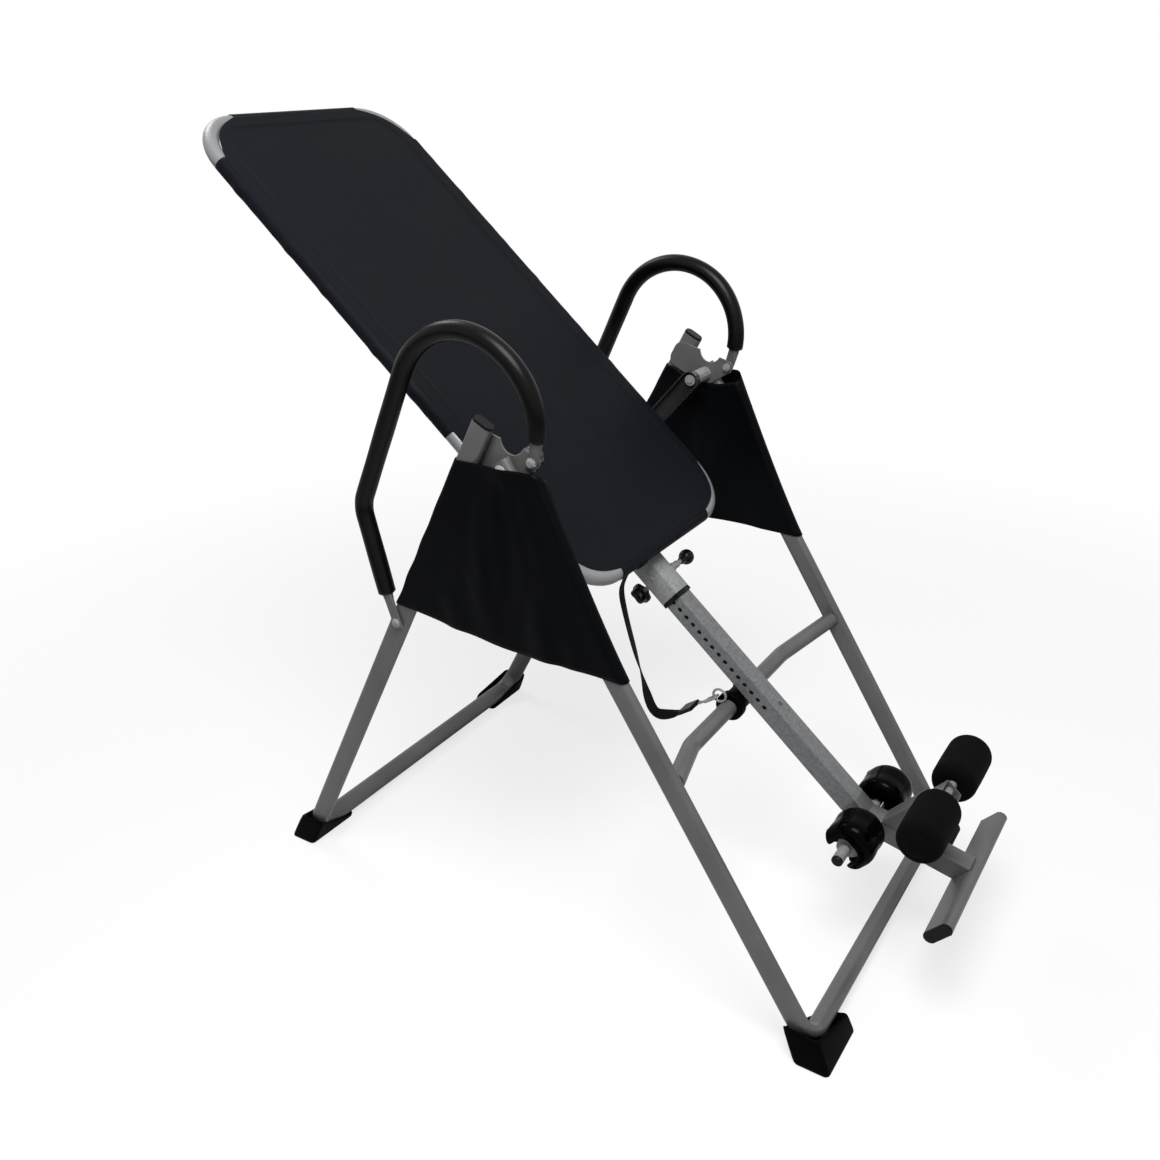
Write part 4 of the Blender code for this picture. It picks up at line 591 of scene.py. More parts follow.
def tether_strap():
    line, wrapped = tether_line()
    gone = gone_along(line)
    share = np.clip((gone - gone[wrapped]) / (gone[-1] - gone[wrapped]), 0, 1)
    stops = smooth_line(STRAP_TURNS, 8)
    twist = np.radians(np.interp(share, stops[:, 0], stops[:, 1]))
    outline = rotated(oval(STRAP_WIDTH, STRAP_THICK, 24), twist[:, None])
    grid = carry(line, outline, ACROSS)
    strap = make_piece("tether_webbing_strap", WEBBING, patch(grid, ring=True, caps=True))
    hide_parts("tether_strap")
    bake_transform(strap)
    print("tether length", round(float(gone[-1]), 4), "m")


tether_strap()

# %% [markdown]
# Each stand is one oval tube bent into a U that lies on the floor and leans to the hinge. The tube
# bender leaves round corners. The rear stand reaches past the hinge, and black plugs close its ends.

# %% The two stands
LEG_X = 0.335
LEG_WIDE, LEG_DEEP = 0.020, 0.038
LEG_CORNER = 0.040
STAND_REACH, FLOOR_TUBE_HEIGHT = 0.538, 0.025
REAR_LEAN, FRONT_LEAN = 0.4974187, 0.5584949
REAR_LENGTH, FRONT_LENGTH = 1.0559729, 1.0302660


def stand(name, node_name, y, lean, length):
    up = np.array([0, -math.sin(lean) * np.sign(y), math.cos(lean)])
    normal = np.cross(ACROSS, up)
    base = np.array([0, y, FLOOR_TUBE_HEIGHT])
    left, right = base - LEG_X * ACROSS, base + LEG_X * ACROSS
    line = bent_line([left + length * up, left, right, right + length * up], LEG_CORNER, 18)
    add(name, PAINT, carry(line, oval(LEG_DEEP, LEG_WIDE), normal), node_name, node_name)
    print(name, "tube length", round(float(gone_along(line)[-1]), 3), "m")


stand("rear_stand_tube", "rear_frame", STAND_REACH, REAR_LEAN, REAR_LENGTH)
stand("front_stand_tube", "front_frame", -STAND_REACH, FRONT_LEAN, FRONT_LENGTH)

# %% [markdown]
# The boots are rubber mouldings that cup the corners from below and outside. Their rim is high round
# the leg and falls away towards the inner heel, so the tube's bend stays in view, and their walls lean
# with the leg. Each one is a stack of rounded rectangles: the first rows round the sole's edge, and the
# last ones follow the rim inwards and close the top.

# %% Rubber boots
BOOT_INNER, BOOT_OUTER = 0.247, 0.3655
BOOT_HEEL, BOOT_TOE = 0.524, 0.586
BOOT_CORNER, BOOT_POINTS = 0.009, 56
BOOT_LEAN, BOOT_DRAFT = 0.48, 0.20
BOOT_LEVELS = (0, 0.02, 0.06, 0.14, 0.5, 0.78, 0.92, 0.98, 1, 0.96, 0.86, 0.76, 0.70)
BOOT_INSETS_MM = (3.0, 1.6, 0.7, 0.2, 0, 0, 0.4, 1.3, 2.8, 7, 12, 18, 25)
HEEL_RIM, TOE_RIM = (0.008, 0.053, 2.4), (0.030, 0.025, 1.5)


def boot_rim(inwards, toewards):
    """Height of the rim. At heel and toe it is low + rise * inwards ** power, and between them a mix."""
    heel, toe = (low + rise * inwards**power for low, rise, power in (HEEL_RIM, TOE_RIM))
    return heel + (toe - heel) * toewards


def boot_grid(side, way):
    """Rounded rectangles, each drawn in by its inset and set at its level's share of the rim."""
    level = np.array(BOOT_LEVELS)[:, None]
    inset = np.array(BOOT_INSETS_MM)[:, None] / 1000
    half_x, half_y = (BOOT_OUTER - BOOT_INNER) / 2, (BOOT_TOE - BOOT_HEEL) / 2
    corner = circle(BOOT_CORNER, BOOT_POINTS)
    x, y = (corner + np.sign(corner) * (np.array([half_x, half_y]) - BOOT_CORNER)).T
    x, y = x * (1 - inset / half_x), y * (1 - inset / half_y)
    inwards, toewards = np.clip((x / half_x + 1) / 2, 0, 1), np.clip((y / half_y + 1) / 2, 0, 1)
    z = level * boot_rim(inwards, toewards)
    across = (BOOT_INNER + BOOT_OUTER) / 2 + x - BOOT_DRAFT * z * inwards
    along = (BOOT_HEEL + BOOT_TOE) / 2 + y - BOOT_LEAN * z
    return np.stack([side * across, way * along, z], -1)


for label, side in SIDES:
    for end, way in (("rear", 1), ("front", -1)):
        grid = boot_grid(side, way)
        add(f"{end}_boot_{label}", BOOT_RUBBER, grid, f"{end}_frame", f"{end}_foot_{label}", crease=55)
print("boots:", round(BOOT_OUTER - BOOT_INNER, 4), "m wide,", round(BOOT_TOE - BOOT_HEEL, 3), "m deep")

# %% [markdown]
# The cross brace is a round tube that dips under the boom. A rubber bumper sits on its middle, with
# two rims that keep the boom from rolling off, and a wire ring beside it takes the tether's hook.

# %% Brace, bumper and ring
BRACE_RADIUS, BRACE_BEND = 0.015, 0.060
BRACE_END = np.array([0.3247, -0.28986, 0.42211])
BRACE_MIDDLE = np.array([0.185, -0.24503, 0.39630])
MIRROR = np.array([-1, 1, 1])
BUMPER_HALF = ((0.0153, 0.043), (0.0262, 0.043), (0.0262, 0.0265), (0.0212, 0.0225))
BUMPER_CORNER = 0.0022
RING_AT = np.array([-0.052, -0.23056537, 0.42142479])
RING_RADIUS, RING_WIRE = 0.012, 0.0022

brace_corners = [BRACE_END * MIRROR, BRACE_MIDDLE * MIRROR, BRACE_MIDDLE, BRACE_END]
brace_line = bent_line(brace_corners, BRACE_BEND, 16)
add("brace_tube", PAINT, carry(brace_line, circle(BRACE_RADIUS), (0, 0, 1)), "front_frame", "cross_brace")

bumper_corners = [(radius, -along) for radius, along in BUMPER_HALF] + list(BUMPER_HALF[::-1])
bumper = turned(bent_line(bumper_corners, BUMPER_CORNER, 6), BRACE_MIDDLE * (0, 1, 1), ACROSS)
add("bumper_rubber", BOOT_RUBBER, bumper, "front_frame", "boom_bumper", caps=False, crease=50)

angle = np.linspace(0, 2 * math.pi, 49)
spokes = np.column_stack([0 * angle, around(angle)])[:, None]
wire = circle(RING_WIRE, 16)[None]
ring = RING_AT + RING_RADIUS * spokes + wire[..., :1] * spokes + wire[..., 1:] * ACROSS
add("tether_wire_ring", ZINC, ring, "front_frame", "tether_ring", caps=False, weld=True)
print("brace length", round(float(gone_along(brace_line)[-1]), 3), "m")

# %% [markdown]
# The grips are foam tube pulled over the bent handles. The line is the handle's own: up from the
# bolt on the rear leg, round a bend, over a wide arc and down into the hinge bracket. Near its two
# ends it shifts sideways to meet them. The foam's skin swells a little between its ends, and it
# rounds off where it was cut.

# %% Foam grips
HANDLE_REAR_BOLT = (0.23883449, 0.57599459)
HANDLE_BEND, HANDLE_BEND_RADIUS = (0.302, 0.776), 0.050
HANDLE_ARC, HANDLE_ARC_RADIUS = (0.069, 0.960), 0.1285
HANDLE_ARC_FROM, HANDLE_ARC_TO = math.radians(27.0), math.radians(201.0)
HANDLE_TAIL, HANDLE_BEFORE_BOLT = 0.022, 0.010
HANDLE_SHIFT_OUT, HANDLE_SHIFT_IN = 0.0128, 0.0075
SHIFT_FROM, SHIFT_LONG = 0.05, 0.17
GRIP_RADIUS, GRIP_BORE, GRIP_CUT = 0.0156, 0.0103, 0.004
GRIP_SWELL, GRIP_RIPPLE, GRIP_RIPPLES = 0.0004, 0.00018, 38
GRIP_FROM_REAR, GRIP_FROM_FRONT = 0.060, 0.044


def handle_line(side):
    arc = HANDLE_ARC + HANDLE_ARC_RADIUS * around(np.linspace(HANDLE_ARC_FROM, HANDLE_ARC_TO, 72))
    start = HANDLE_REAR_BOLT - HANDLE_BEFORE_BOLT * unit(np.subtract(HANDLE_BEND, HANDLE_REAR_BOLT))
    lower = bent_line([start, HANDLE_BEND, arc[0]], HANDLE_BEND_RADIUS, 20)[:-1]
    tail = arc[-1:] + HANDLE_TAIL * np.array([[-math.sin(HANDLE_ARC_TO), math.cos(HANDLE_ARC_TO)]])
    flat = np.concatenate([lower, arc, tail])
    gone = gone_along(flat)
    fine = np.linspace(0, gone[-1], 260)
    flat = np.stack([np.interp(fine, gone, flat[:, i]) for i in range(2)], 1)
    x = LEG_X + HANDLE_SHIFT_OUT * np.clip(1 - (fine - SHIFT_FROM) / SHIFT_LONG, 0, 1)
    x = x - HANDLE_SHIFT_IN * np.clip(1 - (gone[-1] - fine - HANDLE_TAIL) / SHIFT_LONG, 0, 1)
    return np.column_stack([side * x, flat]), fine


def foam_grip(label, side):
    line, gone = handle_line(side)
    covered = (gone > GRIP_FROM_REAR) & (gone < gone[-1] - GRIP_FROM_FRONT)
    line, gone = line[covered], gone[covered] - gone[covered][0]
    share = gone / gone[-1]
    swell = GRIP_RADIUS - GRIP_SWELL + GRIP_SWELL * np.sin(math.pi * share)
    swell = swell + GRIP_RIPPLE * np.sin(GRIP_RIPPLES * share + side)
    cut = np.minimum(gone, gone[-1] - gone) / GRIP_CUT
    radius = GRIP_BORE + (swell - GRIP_BORE) * np.sqrt(1 - (1 - np.clip(cut, 0, 1)) ** 2)
    grid = carry(line, circle(1.0, 32)[None] * radius[:, None, None], ACROSS)
    name, stands_for = f"grip_foam_{label}", f"handle_grip_{label}"
    grip = add(name, GRIP_FOAM, grid, "rear_frame", stands_for, caps=False, crease=60)
    return float(gone[-1])


grip_lengths = [foam_grip(label, side) for label, side in SIDES]
print("grip lengths", np.round(grip_lengths, 3).tolist(), "m")

# %% [markdown]
# The bed is two tubes bent into a long loop, with flat cross bars under the cloth. The upper and the
# lower tube meet beside the pivot arms, so each one is carried as its own open U.

# %% Bed tubes and cross bars
BED_TUBE_RADIUS, BED_HALF_WIDTH, BED_CORNER = 0.014, 0.241, 0.085
TUBE_GAP = 0.0003
CROSSBARS = (("head", 0.300), ("foot", -0.110))
CROSSBAR_THICK, CROSSBAR_WIDE, CROSSBAR_OUT, CROSSBAR_HALF = 0.020, 0.040, -0.1210, 0.2267


def bed_tube(part, end_at, joint_at):
    corners = [(-1, joint_at), (-1, end_at), (1, end_at), (1, joint_at)]
    line = bent_line([on_bed(s * BED_HALF_WIDTH, at, TUBE_OUT) for s, at in corners], BED_CORNER, 20)
    grid = carry(line, circle(BED_TUBE_RADIUS), OUT_OF_BED)
    # The bed's tubes take the paler copy of the paint, which is painted light.
    add(f"bed_tube_{part}", BED_PAINT_PAINTED_LIGHT, grid, "bed", f"bed_frame_{part}")


bed_tube("upper", HEAD_TUBE_AT, TUBE_GAP / 2)
bed_tube("lower", FOOT_TUBE_AT, -TUBE_GAP / 2)
for place, at in CROSSBARS:
    line = on_bed(np.array([-1, 1]) * CROSSBAR_HALF, at, CROSSBAR_OUT)
    grid = carry(line, oval(CROSSBAR_THICK, CROSSBAR_WIDE), OUT_OF_BED)
    add(f"crossbar_{place}_tube", PAINT, grid, "bed", f"bed_crossbar_{place}")
print("bed loop", 2 * BED_HALF_WIDTH, "by", HEAD_TUBE_AT - FOOT_TUBE_AT, "m to tube centres")

# %% [markdown]
# The bed cover is one nylon sheet whose edges are sewn into sleeves round the tubes. At the waist,
# where the pivot arms are bolted on, the sleeve is cut open and the cloth just laps over the tube.
# The sheet sags a little between the tubes, its hem is a double layer that stands slightly proud,
# and elsewhere the sleeve goes two thirds of the way round the tube. A notch clears the boom's sleeve.

# %% Bed cover
COVER_OUT, COVER_SAG = -0.0965, 0.0045
WAIST_FROM, WAIST_TO, WAIST_STEP = -0.070, 0.140, 0.008
CORNER_CUT, FOOT_SWELL, HEAD_SWELL = 0.088, 0.024, 0.0178
STRAIGHT_FROM, STRAIGHT_TO = FOOT_TUBE_AT + CORNER_CUT, HEAD_TUBE_AT - CORNER_CUT
HEM_END_HALF = BED_HALF_WIDTH - CORNER_CUT
HEM_RADIUS, HEM_WIDTH, HEM_PROUD, HEM_STEP = 0.01452, 0.024, 0.0007, 0.0016
HEM_TURN, WAIST_TURN, NOTCH_TURN = (math.radians(a) for a in (240.0, 38.0, 100.0))
NOTCH_HALF = 0.036
BAR_REACH, BAR_HOLD = 0.06, 0.55
PULL_HEIGHT, PULL_AT, PULL_REACH = 0.0005, 0.03, 0.12
PUCKER_HEIGHT = 0.0024
MIDDLE_SHARE = 0.86
HEM_COLUMNS = np.array([0.15, 0.3, 0.5, 0.7, 0.85, 0.95, 0.98, 1.0])
CLOTH_THICK = 0.0009


def corner_cut(end, way, most):
    """A corner of the cloth, cut off at a slant. Its edge swells towards the tube by
    most * sin(pi * share)."""
    share = np.linspace(0, 1, 15)
    swell = most * np.sin(math.pi * share) / math.sqrt(2)
    along = end - way * (CORNER_CUT * (1 - share) - swell)
    return np.column_stack([along, BED_HALF_WIDTH - CORNER_CUT * share + swell])


foot_corner, head_corner = corner_cut(FOOT_TUBE_AT, -1, FOOT_SWELL), corner_cut(HEAD_TUBE_AT, 1, HEAD_SWELL)
OUTLINE = np.concatenate([foot_corner[::-1], head_corner])


def cover_half_width(at):
    return np.interp(at, OUTLINE[:, 0], OUTLINE[:, 1])


def from_edge(x, at):
    """Distance in from the nearest edge of the flat sheet, taken across or along it."""
    ends = np.minimum(at - FOOT_TUBE_AT, HEAD_TUBE_AT - at)
    return np.minimum(cover_half_width(at) - np.abs(x), ends)


def cover_height(x, at):
    """Level of the sheet: a shallow dish between the tubes, raised by the hem and by soft pull lines."""
    half = cover_half_width(at)
    share = np.clip((at - FOOT_TUBE_AT) / (HEAD_TUBE_AT - FOOT_TUBE_AT), 0, 1)
    dish = (1 - (x / half) ** 2) * np.sin(math.pi * share) ** 0.5
    near_bar = sum(np.exp(-(((at - bar) / BAR_REACH) ** 2)) for _, bar in CROSSBARS)
    hem = HEM_PROUD * (1 - ease((from_edge(x, at) - HEM_WIDTH) / HEM_STEP))
    pull = PULL_HEIGHT * np.sin(90 * x + 5 * at) * np.exp(-(((at - PULL_AT) / PULL_REACH) ** 2))
    pull = pull * np.clip(1 - np.abs(x) / half, 0, 1)
    return COVER_OUT + hem - COVER_SAG * dish * (1 - BAR_HOLD * np.clip(near_bar, 0, 1)) + pull


def cover_rows():
    """Row places, close together where the sleeve opens and closes at the waist."""
    runs = (
        (FOOT_TUBE_AT, STRAIGHT_FROM, 30),
        (STRAIGHT_FROM + 0.005, WAIST_FROM - 0.004, 9),
        (WAIST_FROM, WAIST_FROM + WAIST_STEP, 7),
        (WAIST_FROM + 0.017, WAIST_TO - 0.017, 36),
        (WAIST_TO - WAIST_STEP, WAIST_TO, 7),
        (WAIST_TO + 0.006, STRAIGHT_TO - 0.006, 108),
        (STRAIGHT_TO, HEAD_TUBE_AT, 30),
    )
    return np.concatenate([np.linspace(*run) for run in runs])


def pucker(along, side):
    """Small gathers of the hem: two sine waves along the edge, only outwards."""
    wave = np.sin(95 * along + side) * np.sin(41 * along + 2 * side)
    return PUCKER_HEIGHT * np.clip(wave, 0, 1) ** 1.5


def bed_cover():
    """The flat sheet, then a sleeve along each side, then one across each end."""
    at = cover_rows()[:, None]
    half = np.concatenate([np.linspace(0, MIDDLE_SHARE, 44), MIDDLE_SHARE + (1 - MIDDLE_SHARE) * HEM_COLUMNS])
    x = np.concatenate([-half[:0:-1], half])[None] * cover_half_width(at)
    patches = [patch(on_bed(x, at, cover_height(x, at)), facing=OUT_OF_BED)]
    turn = np.linspace(0, 1, 30)[None]
    hub_out = COVER_OUT + HEM_PROUD - HEM_RADIUS
    along = at[(at[:, 0] > STRAIGHT_FROM - 1e-6) & (at[:, 0] < STRAIGHT_TO + 1e-6)]
    opened = np.clip(np.minimum(along - WAIST_FROM, WAIST_TO - along) / WAIST_STEP, 0, 1)
    angle = turn * (HEM_TURN + (WAIST_TURN - HEM_TURN) * opened)
    for _, side in SIDES:
        radius = HEM_RADIUS + pucker(along, side) * np.sin(np.clip(angle, 0, math.pi)) ** 2
        x = side * (BED_HALF_WIDTH + radius * np.sin(angle))
        patches.append(patch(on_bed(x, along, hub_out + radius * np.cos(angle))))
    across = np.linspace(-HEM_END_HALF, HEM_END_HALF, 74)[:, None]
    for end, way in ((HEAD_TUBE_AT, 1), (FOOT_TUBE_AT, -1)):
        angle = turn * np.where((np.abs(across) < NOTCH_HALF) & (way < 0), NOTCH_TURN, HEM_TURN)
        along = end + way * HEM_RADIUS * np.sin(angle)
        patches.append(patch(on_bed(across, along, hub_out + HEM_RADIUS * np.cos(angle))))
    return make_piece("bed_cover_cloth", BED_NYLON, *patches, crease=50)


def thicken(cloth):
    """Gives a sheet the thickness of its cloth, and returns the area that it had as a sheet."""
    thick = cloth.modifiers.new("cloth_thickness", "SOLIDIFY")
    thick.thickness, thick.offset = CLOTH_THICK, 0.0
    return sum(p.area for p in cloth.data.polygons)


cover = bed_cover()
cover_area = thicken(cover)
dress(cover, "bed", "bed_cover")
print("bed cover area", round(cover_area, 4), "square metres")

# %% [markdown]
# A line of lockstitch runs inside the hem. Each stitch is a short bit of thread, raised in its middle
# and sunk into the cloth at both ends. The points of all stitches are worked out as one array.

# %% Stitches along the hem
STITCH_PITCH, STITCH_LONG, STITCH_THICK = 0.0075, 0.0056, 0.00055
STITCH_INSET = HEM_WIDTH - 0.003
SIDE_RUN, END_RUN = (-0.113, 0.742), (-0.146, 0.147)
STITCH_ROWS, STITCH_ROUND = 5, 6
STITCH_SEAT = 0.0005


def stitch_seats():
    """Seats of all stitches as across, along, and the direction they run in."""
    run, ends = np.arange(*SIDE_RUN, STITCH_PITCH), np.arange(*END_RUN, STITCH_PITCH)
    seats = [(side * (BED_HALF_WIDTH - STITCH_INSET), at, 0, 1) for _, side in SIDES for at in run]
    for at in (HEAD_TUBE_AT - STITCH_INSET, FOOT_TUBE_AT + STITCH_INSET):
        seats += [(x, at, 1, 0) for x in ends]
    return np.array(seats, float)


def stitches():
    seats = stitch_seats()
    along = np.linspace(-0.5, 0.5, STITCH_ROWS)
    angle = np.arange(STITCH_ROUND) * 2 * math.pi / STITCH_ROUND
    lift = STITCH_THICK * (0.9 - 5.6 * along**2)
    x, at, way_x, way_at = (seats[:, i, None, None] for i in range(4))
    run = along[None, :, None] * STITCH_LONG
    side = STITCH_THICK * np.cos(angle)[None, None]
    grid_x, grid_at = x + way_x * run - way_at * side, at + way_at * run + way_x * side
    height = cover_height(grid_x, grid_at) + STITCH_SEAT + lift[None, :, None]
    height = height + 0.7 * STITCH_THICK * np.sin(angle)[None, None]
    points = on_bed(grid_x, grid_at, height).reshape(-1, 3)
    row, column = grid_corners(STITCH_ROWS, STITCH_ROUND, True)
    quads = row * STITCH_ROUND + column % STITCH_ROUND
    first = STITCH_ROWS * STITCH_ROUND * np.arange(len(seats))
    faces = (quads[None] + first[:, None, None]).reshape(-1, 4)
    mesh = bpy.data.meshes.new("bed_cover_stitches")
    mesh.from_pydata(points.tolist(), [], faces.tolist())
    dress(put("bed_cover_stitches", mesh, THREAD, 180.0), "bed")
    return len(seats)


print("stitches:", stitches())

# %% [markdown]
# The side covers are loose cloth sleeves round the tops of both legs. They hang from the hinge, so
# folds fan out from the top towards the lower edge. The start shape has those folds as a formula.
# A short cloth simulation then lets the free cloth settle, and each point stays near where it began.

# %% Side covers as a formula
SIDE_TOP, SIDE_INNER_TOP = 0.893, 0.868
SIDE_REAR_FOOT, SIDE_FRONT_FOOT = 0.612, 0.583
SIDE_STAND_OFF, SIDE_ROOM = 0.046, 0.0016
PLATE_FOOT, PLATE_ROOM, PLATE_STEP = 0.842, 0.30, 0.016
OUTER_FOLDS, INNER_FOLDS = (0.0068, 0.0014), (0.0065, 0.0010)
FOOT_SAG, FOOT_WAVE, REAR_SCALLOP = 0.004, 0.0014, 0.0014
BOLT_BULGE, BOLT_SHARE, BOLT_REACH, BOLT_DOWN = 0.006, 0.60, 0.14, 0.09


def leg_edges(rear_z, front_z, half_long):
    """World y of the rear leg's back edge and of the cloth before the front leg, at given heights."""
    rear = STAND_REACH - (rear_z - FLOOR_TUBE_HEIGHT) * math.tan(REAR_LEAN) + half_long / math.cos(REAR_LEAN)
    front = -STAND_REACH + (front_z - FLOOR_TUBE_HEIGHT) * math.tan(FRONT_LEAN)
    front = front - half_long / math.cos(FRONT_LEAN)
    share = np.clip((front_z - SIDE_FRONT_FOOT) / (SIDE_TOP - SIDE_FRONT_FOOT), 0, 1)
    return rear, front - SIDE_STAND_OFF * share**1.3


def side_cover_grid(levels=46, sheet_points=56, end_points=12):
    """Level by level, a loop: outer sheet, round the front leg, inner sheet, round the rear leg. The
    inner sheet's top edge dips below the pivot bushing, and it stands off to clear the hinge plate."""
    level = np.linspace(0, 1, levels)[:, None]
    half_short, half_long = LEG_WIDE / 2 + SIDE_ROOM, LEG_DEEP / 2 + SIDE_ROOM
    share = np.linspace(0, 1, sheet_points)[None]
    turn = ((np.arange(end_points) + 1) * math.pi / (end_points + 1))[None]
    free = np.sin(math.pi * share) ** 1.2
    hang = np.sin(math.pi * level / 2) * free
    fan = 0.5 + 0.5 * np.sin(5 * math.pi * share + 2.2 * level + 0.4)
    small = np.sin(13 * math.pi * share - 3.0 * level + 0.6) * (1 - 0.6 * level)

    def edges(dip):
        top = SIDE_TOP - (SIDE_TOP - SIDE_INNER_TOP) * dip
        rear_z, front_z = top + (SIDE_REAR_FOOT - top) * level, top + (SIDE_FRONT_FOOT - top) * level
        return rear_z, front_z, *leg_edges(rear_z, front_z, half_long)

    def sheet(dip, x):
        rear_z, front_z, rear_y, front_y = edges(dip)
        y = rear_y - half_short + (front_y - rear_y + 2 * half_short) * share
        z = rear_z + (front_z - rear_z) * share
        z = z - FOOT_SAG * level**3 * free + FOOT_WAVE * level**4 * np.sin(7 * math.pi * share) * free
        return np.stack([x, y, z], -1)

    def round_leg(front):
        rear_z, front_z, rear_y, front_y = edges(0.7 * (0.5 - 0.5 * np.cos(turn)) if front else 0 * turn)
        way, y, z = (-1, front_y, front_z) if front else (1, rear_y, rear_z)
        x = np.broadcast_to(-way * half_short * np.cos(turn), (levels, end_points))
        scallop = REAR_SCALLOP * np.sin(26 * level) * level * (not front)
        return np.stack([x, y - way * half_short * (1 - np.sin(turn)) + scallop, z + 0 * x], -1)

    over_bolt = BOLT_BULGE * np.exp(-(((share - BOLT_SHARE) / BOLT_REACH) ** 2))
    over_bolt = over_bolt * np.exp(-((level / BOLT_DOWN) ** 2))
    wide, narrow = OUTER_FOLDS
    outer = sheet(0.0, half_short + over_bolt + hang * (wide * fan + narrow * small))
    dip = ease(share / 0.5) - 0.3 * np.clip((share - 0.78) / 0.22, 0, 1)
    wide, narrow = INNER_FOLDS
    inner = sheet(dip, -half_short - hang * (wide * (1 - fan) + narrow * small))[:, ::-1]
    grid = np.concatenate([outer, round_leg(True), inner, round_leg(False)], 1)
    stand_off = PLATE_ROOM * np.clip((grid[..., 2] - PLATE_FOOT) / PLATE_STEP, 0, 1)
    grid[..., 0] *= np.where(grid[..., 0] < 0, 1 + stand_off, 1)
    held = np.ones(grid.shape[:2])
    inner_from = sheet_points + end_points
    held[:, :sheet_points] = 1 - ease(1.5 * level * free)
    held[:, inner_from : inner_from + sheet_points] = held[:, :sheet_points][:, ::-1]
    return grid, held


side_grid, side_held = side_cover_grid()
print("side cover grid:", side_grid.shape[:2])

# %% Settling the side covers
SETTLE_FRAMES, SETTLE_CAP, SETTLE_SMOOTHINGS = 18, 0.0045, 4
SETTLE_CLOTH = {
    "vertex_group_mass": "held",
    "quality": 6,
    "mass": 0.12,
    "tension_stiffness": 12,
    "compression_stiffness": 12,
    "bending_stiffness": 0.25,
    "air_damping": 4,
    "shrink_min": -0.02,
}


def points_of(mesh):
    flat = np.empty(3 * len(mesh.vertices), np.float32)
    mesh.vertices.foreach_get("co", flat)
    return flat.reshape(-1, 3).astype(float)


def evaluated(piece):
    return piece.evaluated_get(bpy.context.evaluated_depsgraph_get())


def settle(piece, held):
    """Runs the cloth for a few frames with a little slack. Each point's move is kept within a small cap
    and smoothed along its level, as 1:2:1 of its neighbours and itself."""
    group = piece.vertex_groups.new(name="held")
    weights = np.round(held.ravel(), 1)
    for weight in np.unique(weights):
        group.add(np.flatnonzero(weights == weight).tolist(), float(weight), "REPLACE")
    cloth = piece.modifiers.new("settle", "CLOTH")
    for setting, value in SETTLE_CLOTH.items():
        setattr(cloth.settings, setting, value)
    cloth.point_cache.frame_end = SETTLE_FRAMES
    scene = bpy.context.scene
    start = points_of(piece.data)
    for step in range(1, SETTLE_FRAMES + 1):
        scene.frame_set(step)
    moved = points_of(evaluated(piece).to_mesh()) - start
    piece.modifiers.remove(cloth)
    piece.vertex_groups.clear()
    scene.frame_set(1)
    length = np.linalg.norm(moved, axis=1, keepdims=True)
    kept = moved * np.minimum(1, SETTLE_CAP / np.maximum(length, 1e-9)) * (1 - held.reshape(-1, 1) ** 4)
    kept = kept.reshape(*held.shape, 3)
    for _ in range(SETTLE_SMOOTHINGS):
        kept = (np.roll(kept, 1, 1) + 2 * kept + np.roll(kept, -1, 1)) / 4
    return start + kept.reshape(-1, 3), float(length.max())


def apply_modifiers(piece):
    bpy.context.view_layer.update()
    made = bpy.data.meshes.new_from_object(evaluated(piece))
    piece.modifiers.clear()
    piece.data = made


# The side cloth's darker nylon is partly painted shade.
trial = make_piece("side_cover_trial", SIDE_NYLON_PAINTED_SHADE, patch(side_grid, ring=True))
rested, furthest = settle(trial, side_held)
PIECES.remove(trial)
bpy.data.objects.remove(trial, do_unlink=True)
rested = rested.reshape(side_grid.shape)
print("cloth moved up to", round(furthest, 4), "m, kept within", SETTLE_CAP)

for label, side in SIDES:
    hung = rested * np.array([side, 1, 1]) + np.array([side * LEG_X, 0, 0])
    cloth = make_piece(f"side_cloth_{label}", SIDE_NYLON_PAINTED_SHADE, patch(hung, ring=True), crease=70)
    cloth_area = thicken(cloth)
    apply_modifiers(cloth)
    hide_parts(f"side_cover_{label}")
    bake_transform(cloth)
print("side cover area", round(cloth_area, 4), "square metres")

# %% [markdown]
# The ankle rollers are foam cylinders on a thin axle. The foam bulges a touch in the middle. Its inner
# end is dished round the axle, and its outer end closes over it as a low dome. The heel pads are thick
# horseshoes of dipped foam with a slot for the rod. Their outside falls along a quarter ellipse at both
# ends, like a bolster.

# %% Rollers and heel pads
ROLLER_AT, ROLLER_OUT = -0.841, -0.010
ROLLER_FROM, ROLLER_TO, ROLLER_RADIUS = 0.032, 0.153, 0.038
ROLLER_END, ROLLER_DROP, ROLLER_BULGE, ROLLER_EDGE = 0.017, 0.0135, 0.0004, 0.006
INNER_FACE = ((0.0086, 0.003), (0.014, 0.0012), (0.020, 0.0002))
OUTER_FACE = ((0.020, 0.0035), (0.014, 0.0066), (0.007, 0.0082), (0.0004, 0.0086))
HEEL_AT, HEEL_OUT = -0.806, -0.1538
HEEL_X, HEEL_HALF = 0.071, 0.034
HEEL_RADIUS, HEEL_END_RADIUS, HEEL_SKIRT, HEEL_WAIST = 0.043, 0.0265, 0.024, 0.0015
HEEL_ROUND, HEEL_FALL_FROM, HEEL_FALL_TO = 0.016, 0.092, 0.1120
HEEL_SLOT, HEEL_GROOVE, HEEL_LIP = 0.0116, 0.0226, 0.0215
HEEL_LIP_AT = (0.1052, 0.1076, 0.1096, 0.1110, 0.1118)
HEEL_MIDDLE = (0.057, 0.094, 9)
PLATE_FROM, PLATE_TO, PLATE_EDGE = 0.0983, 0.1027, 0.0001


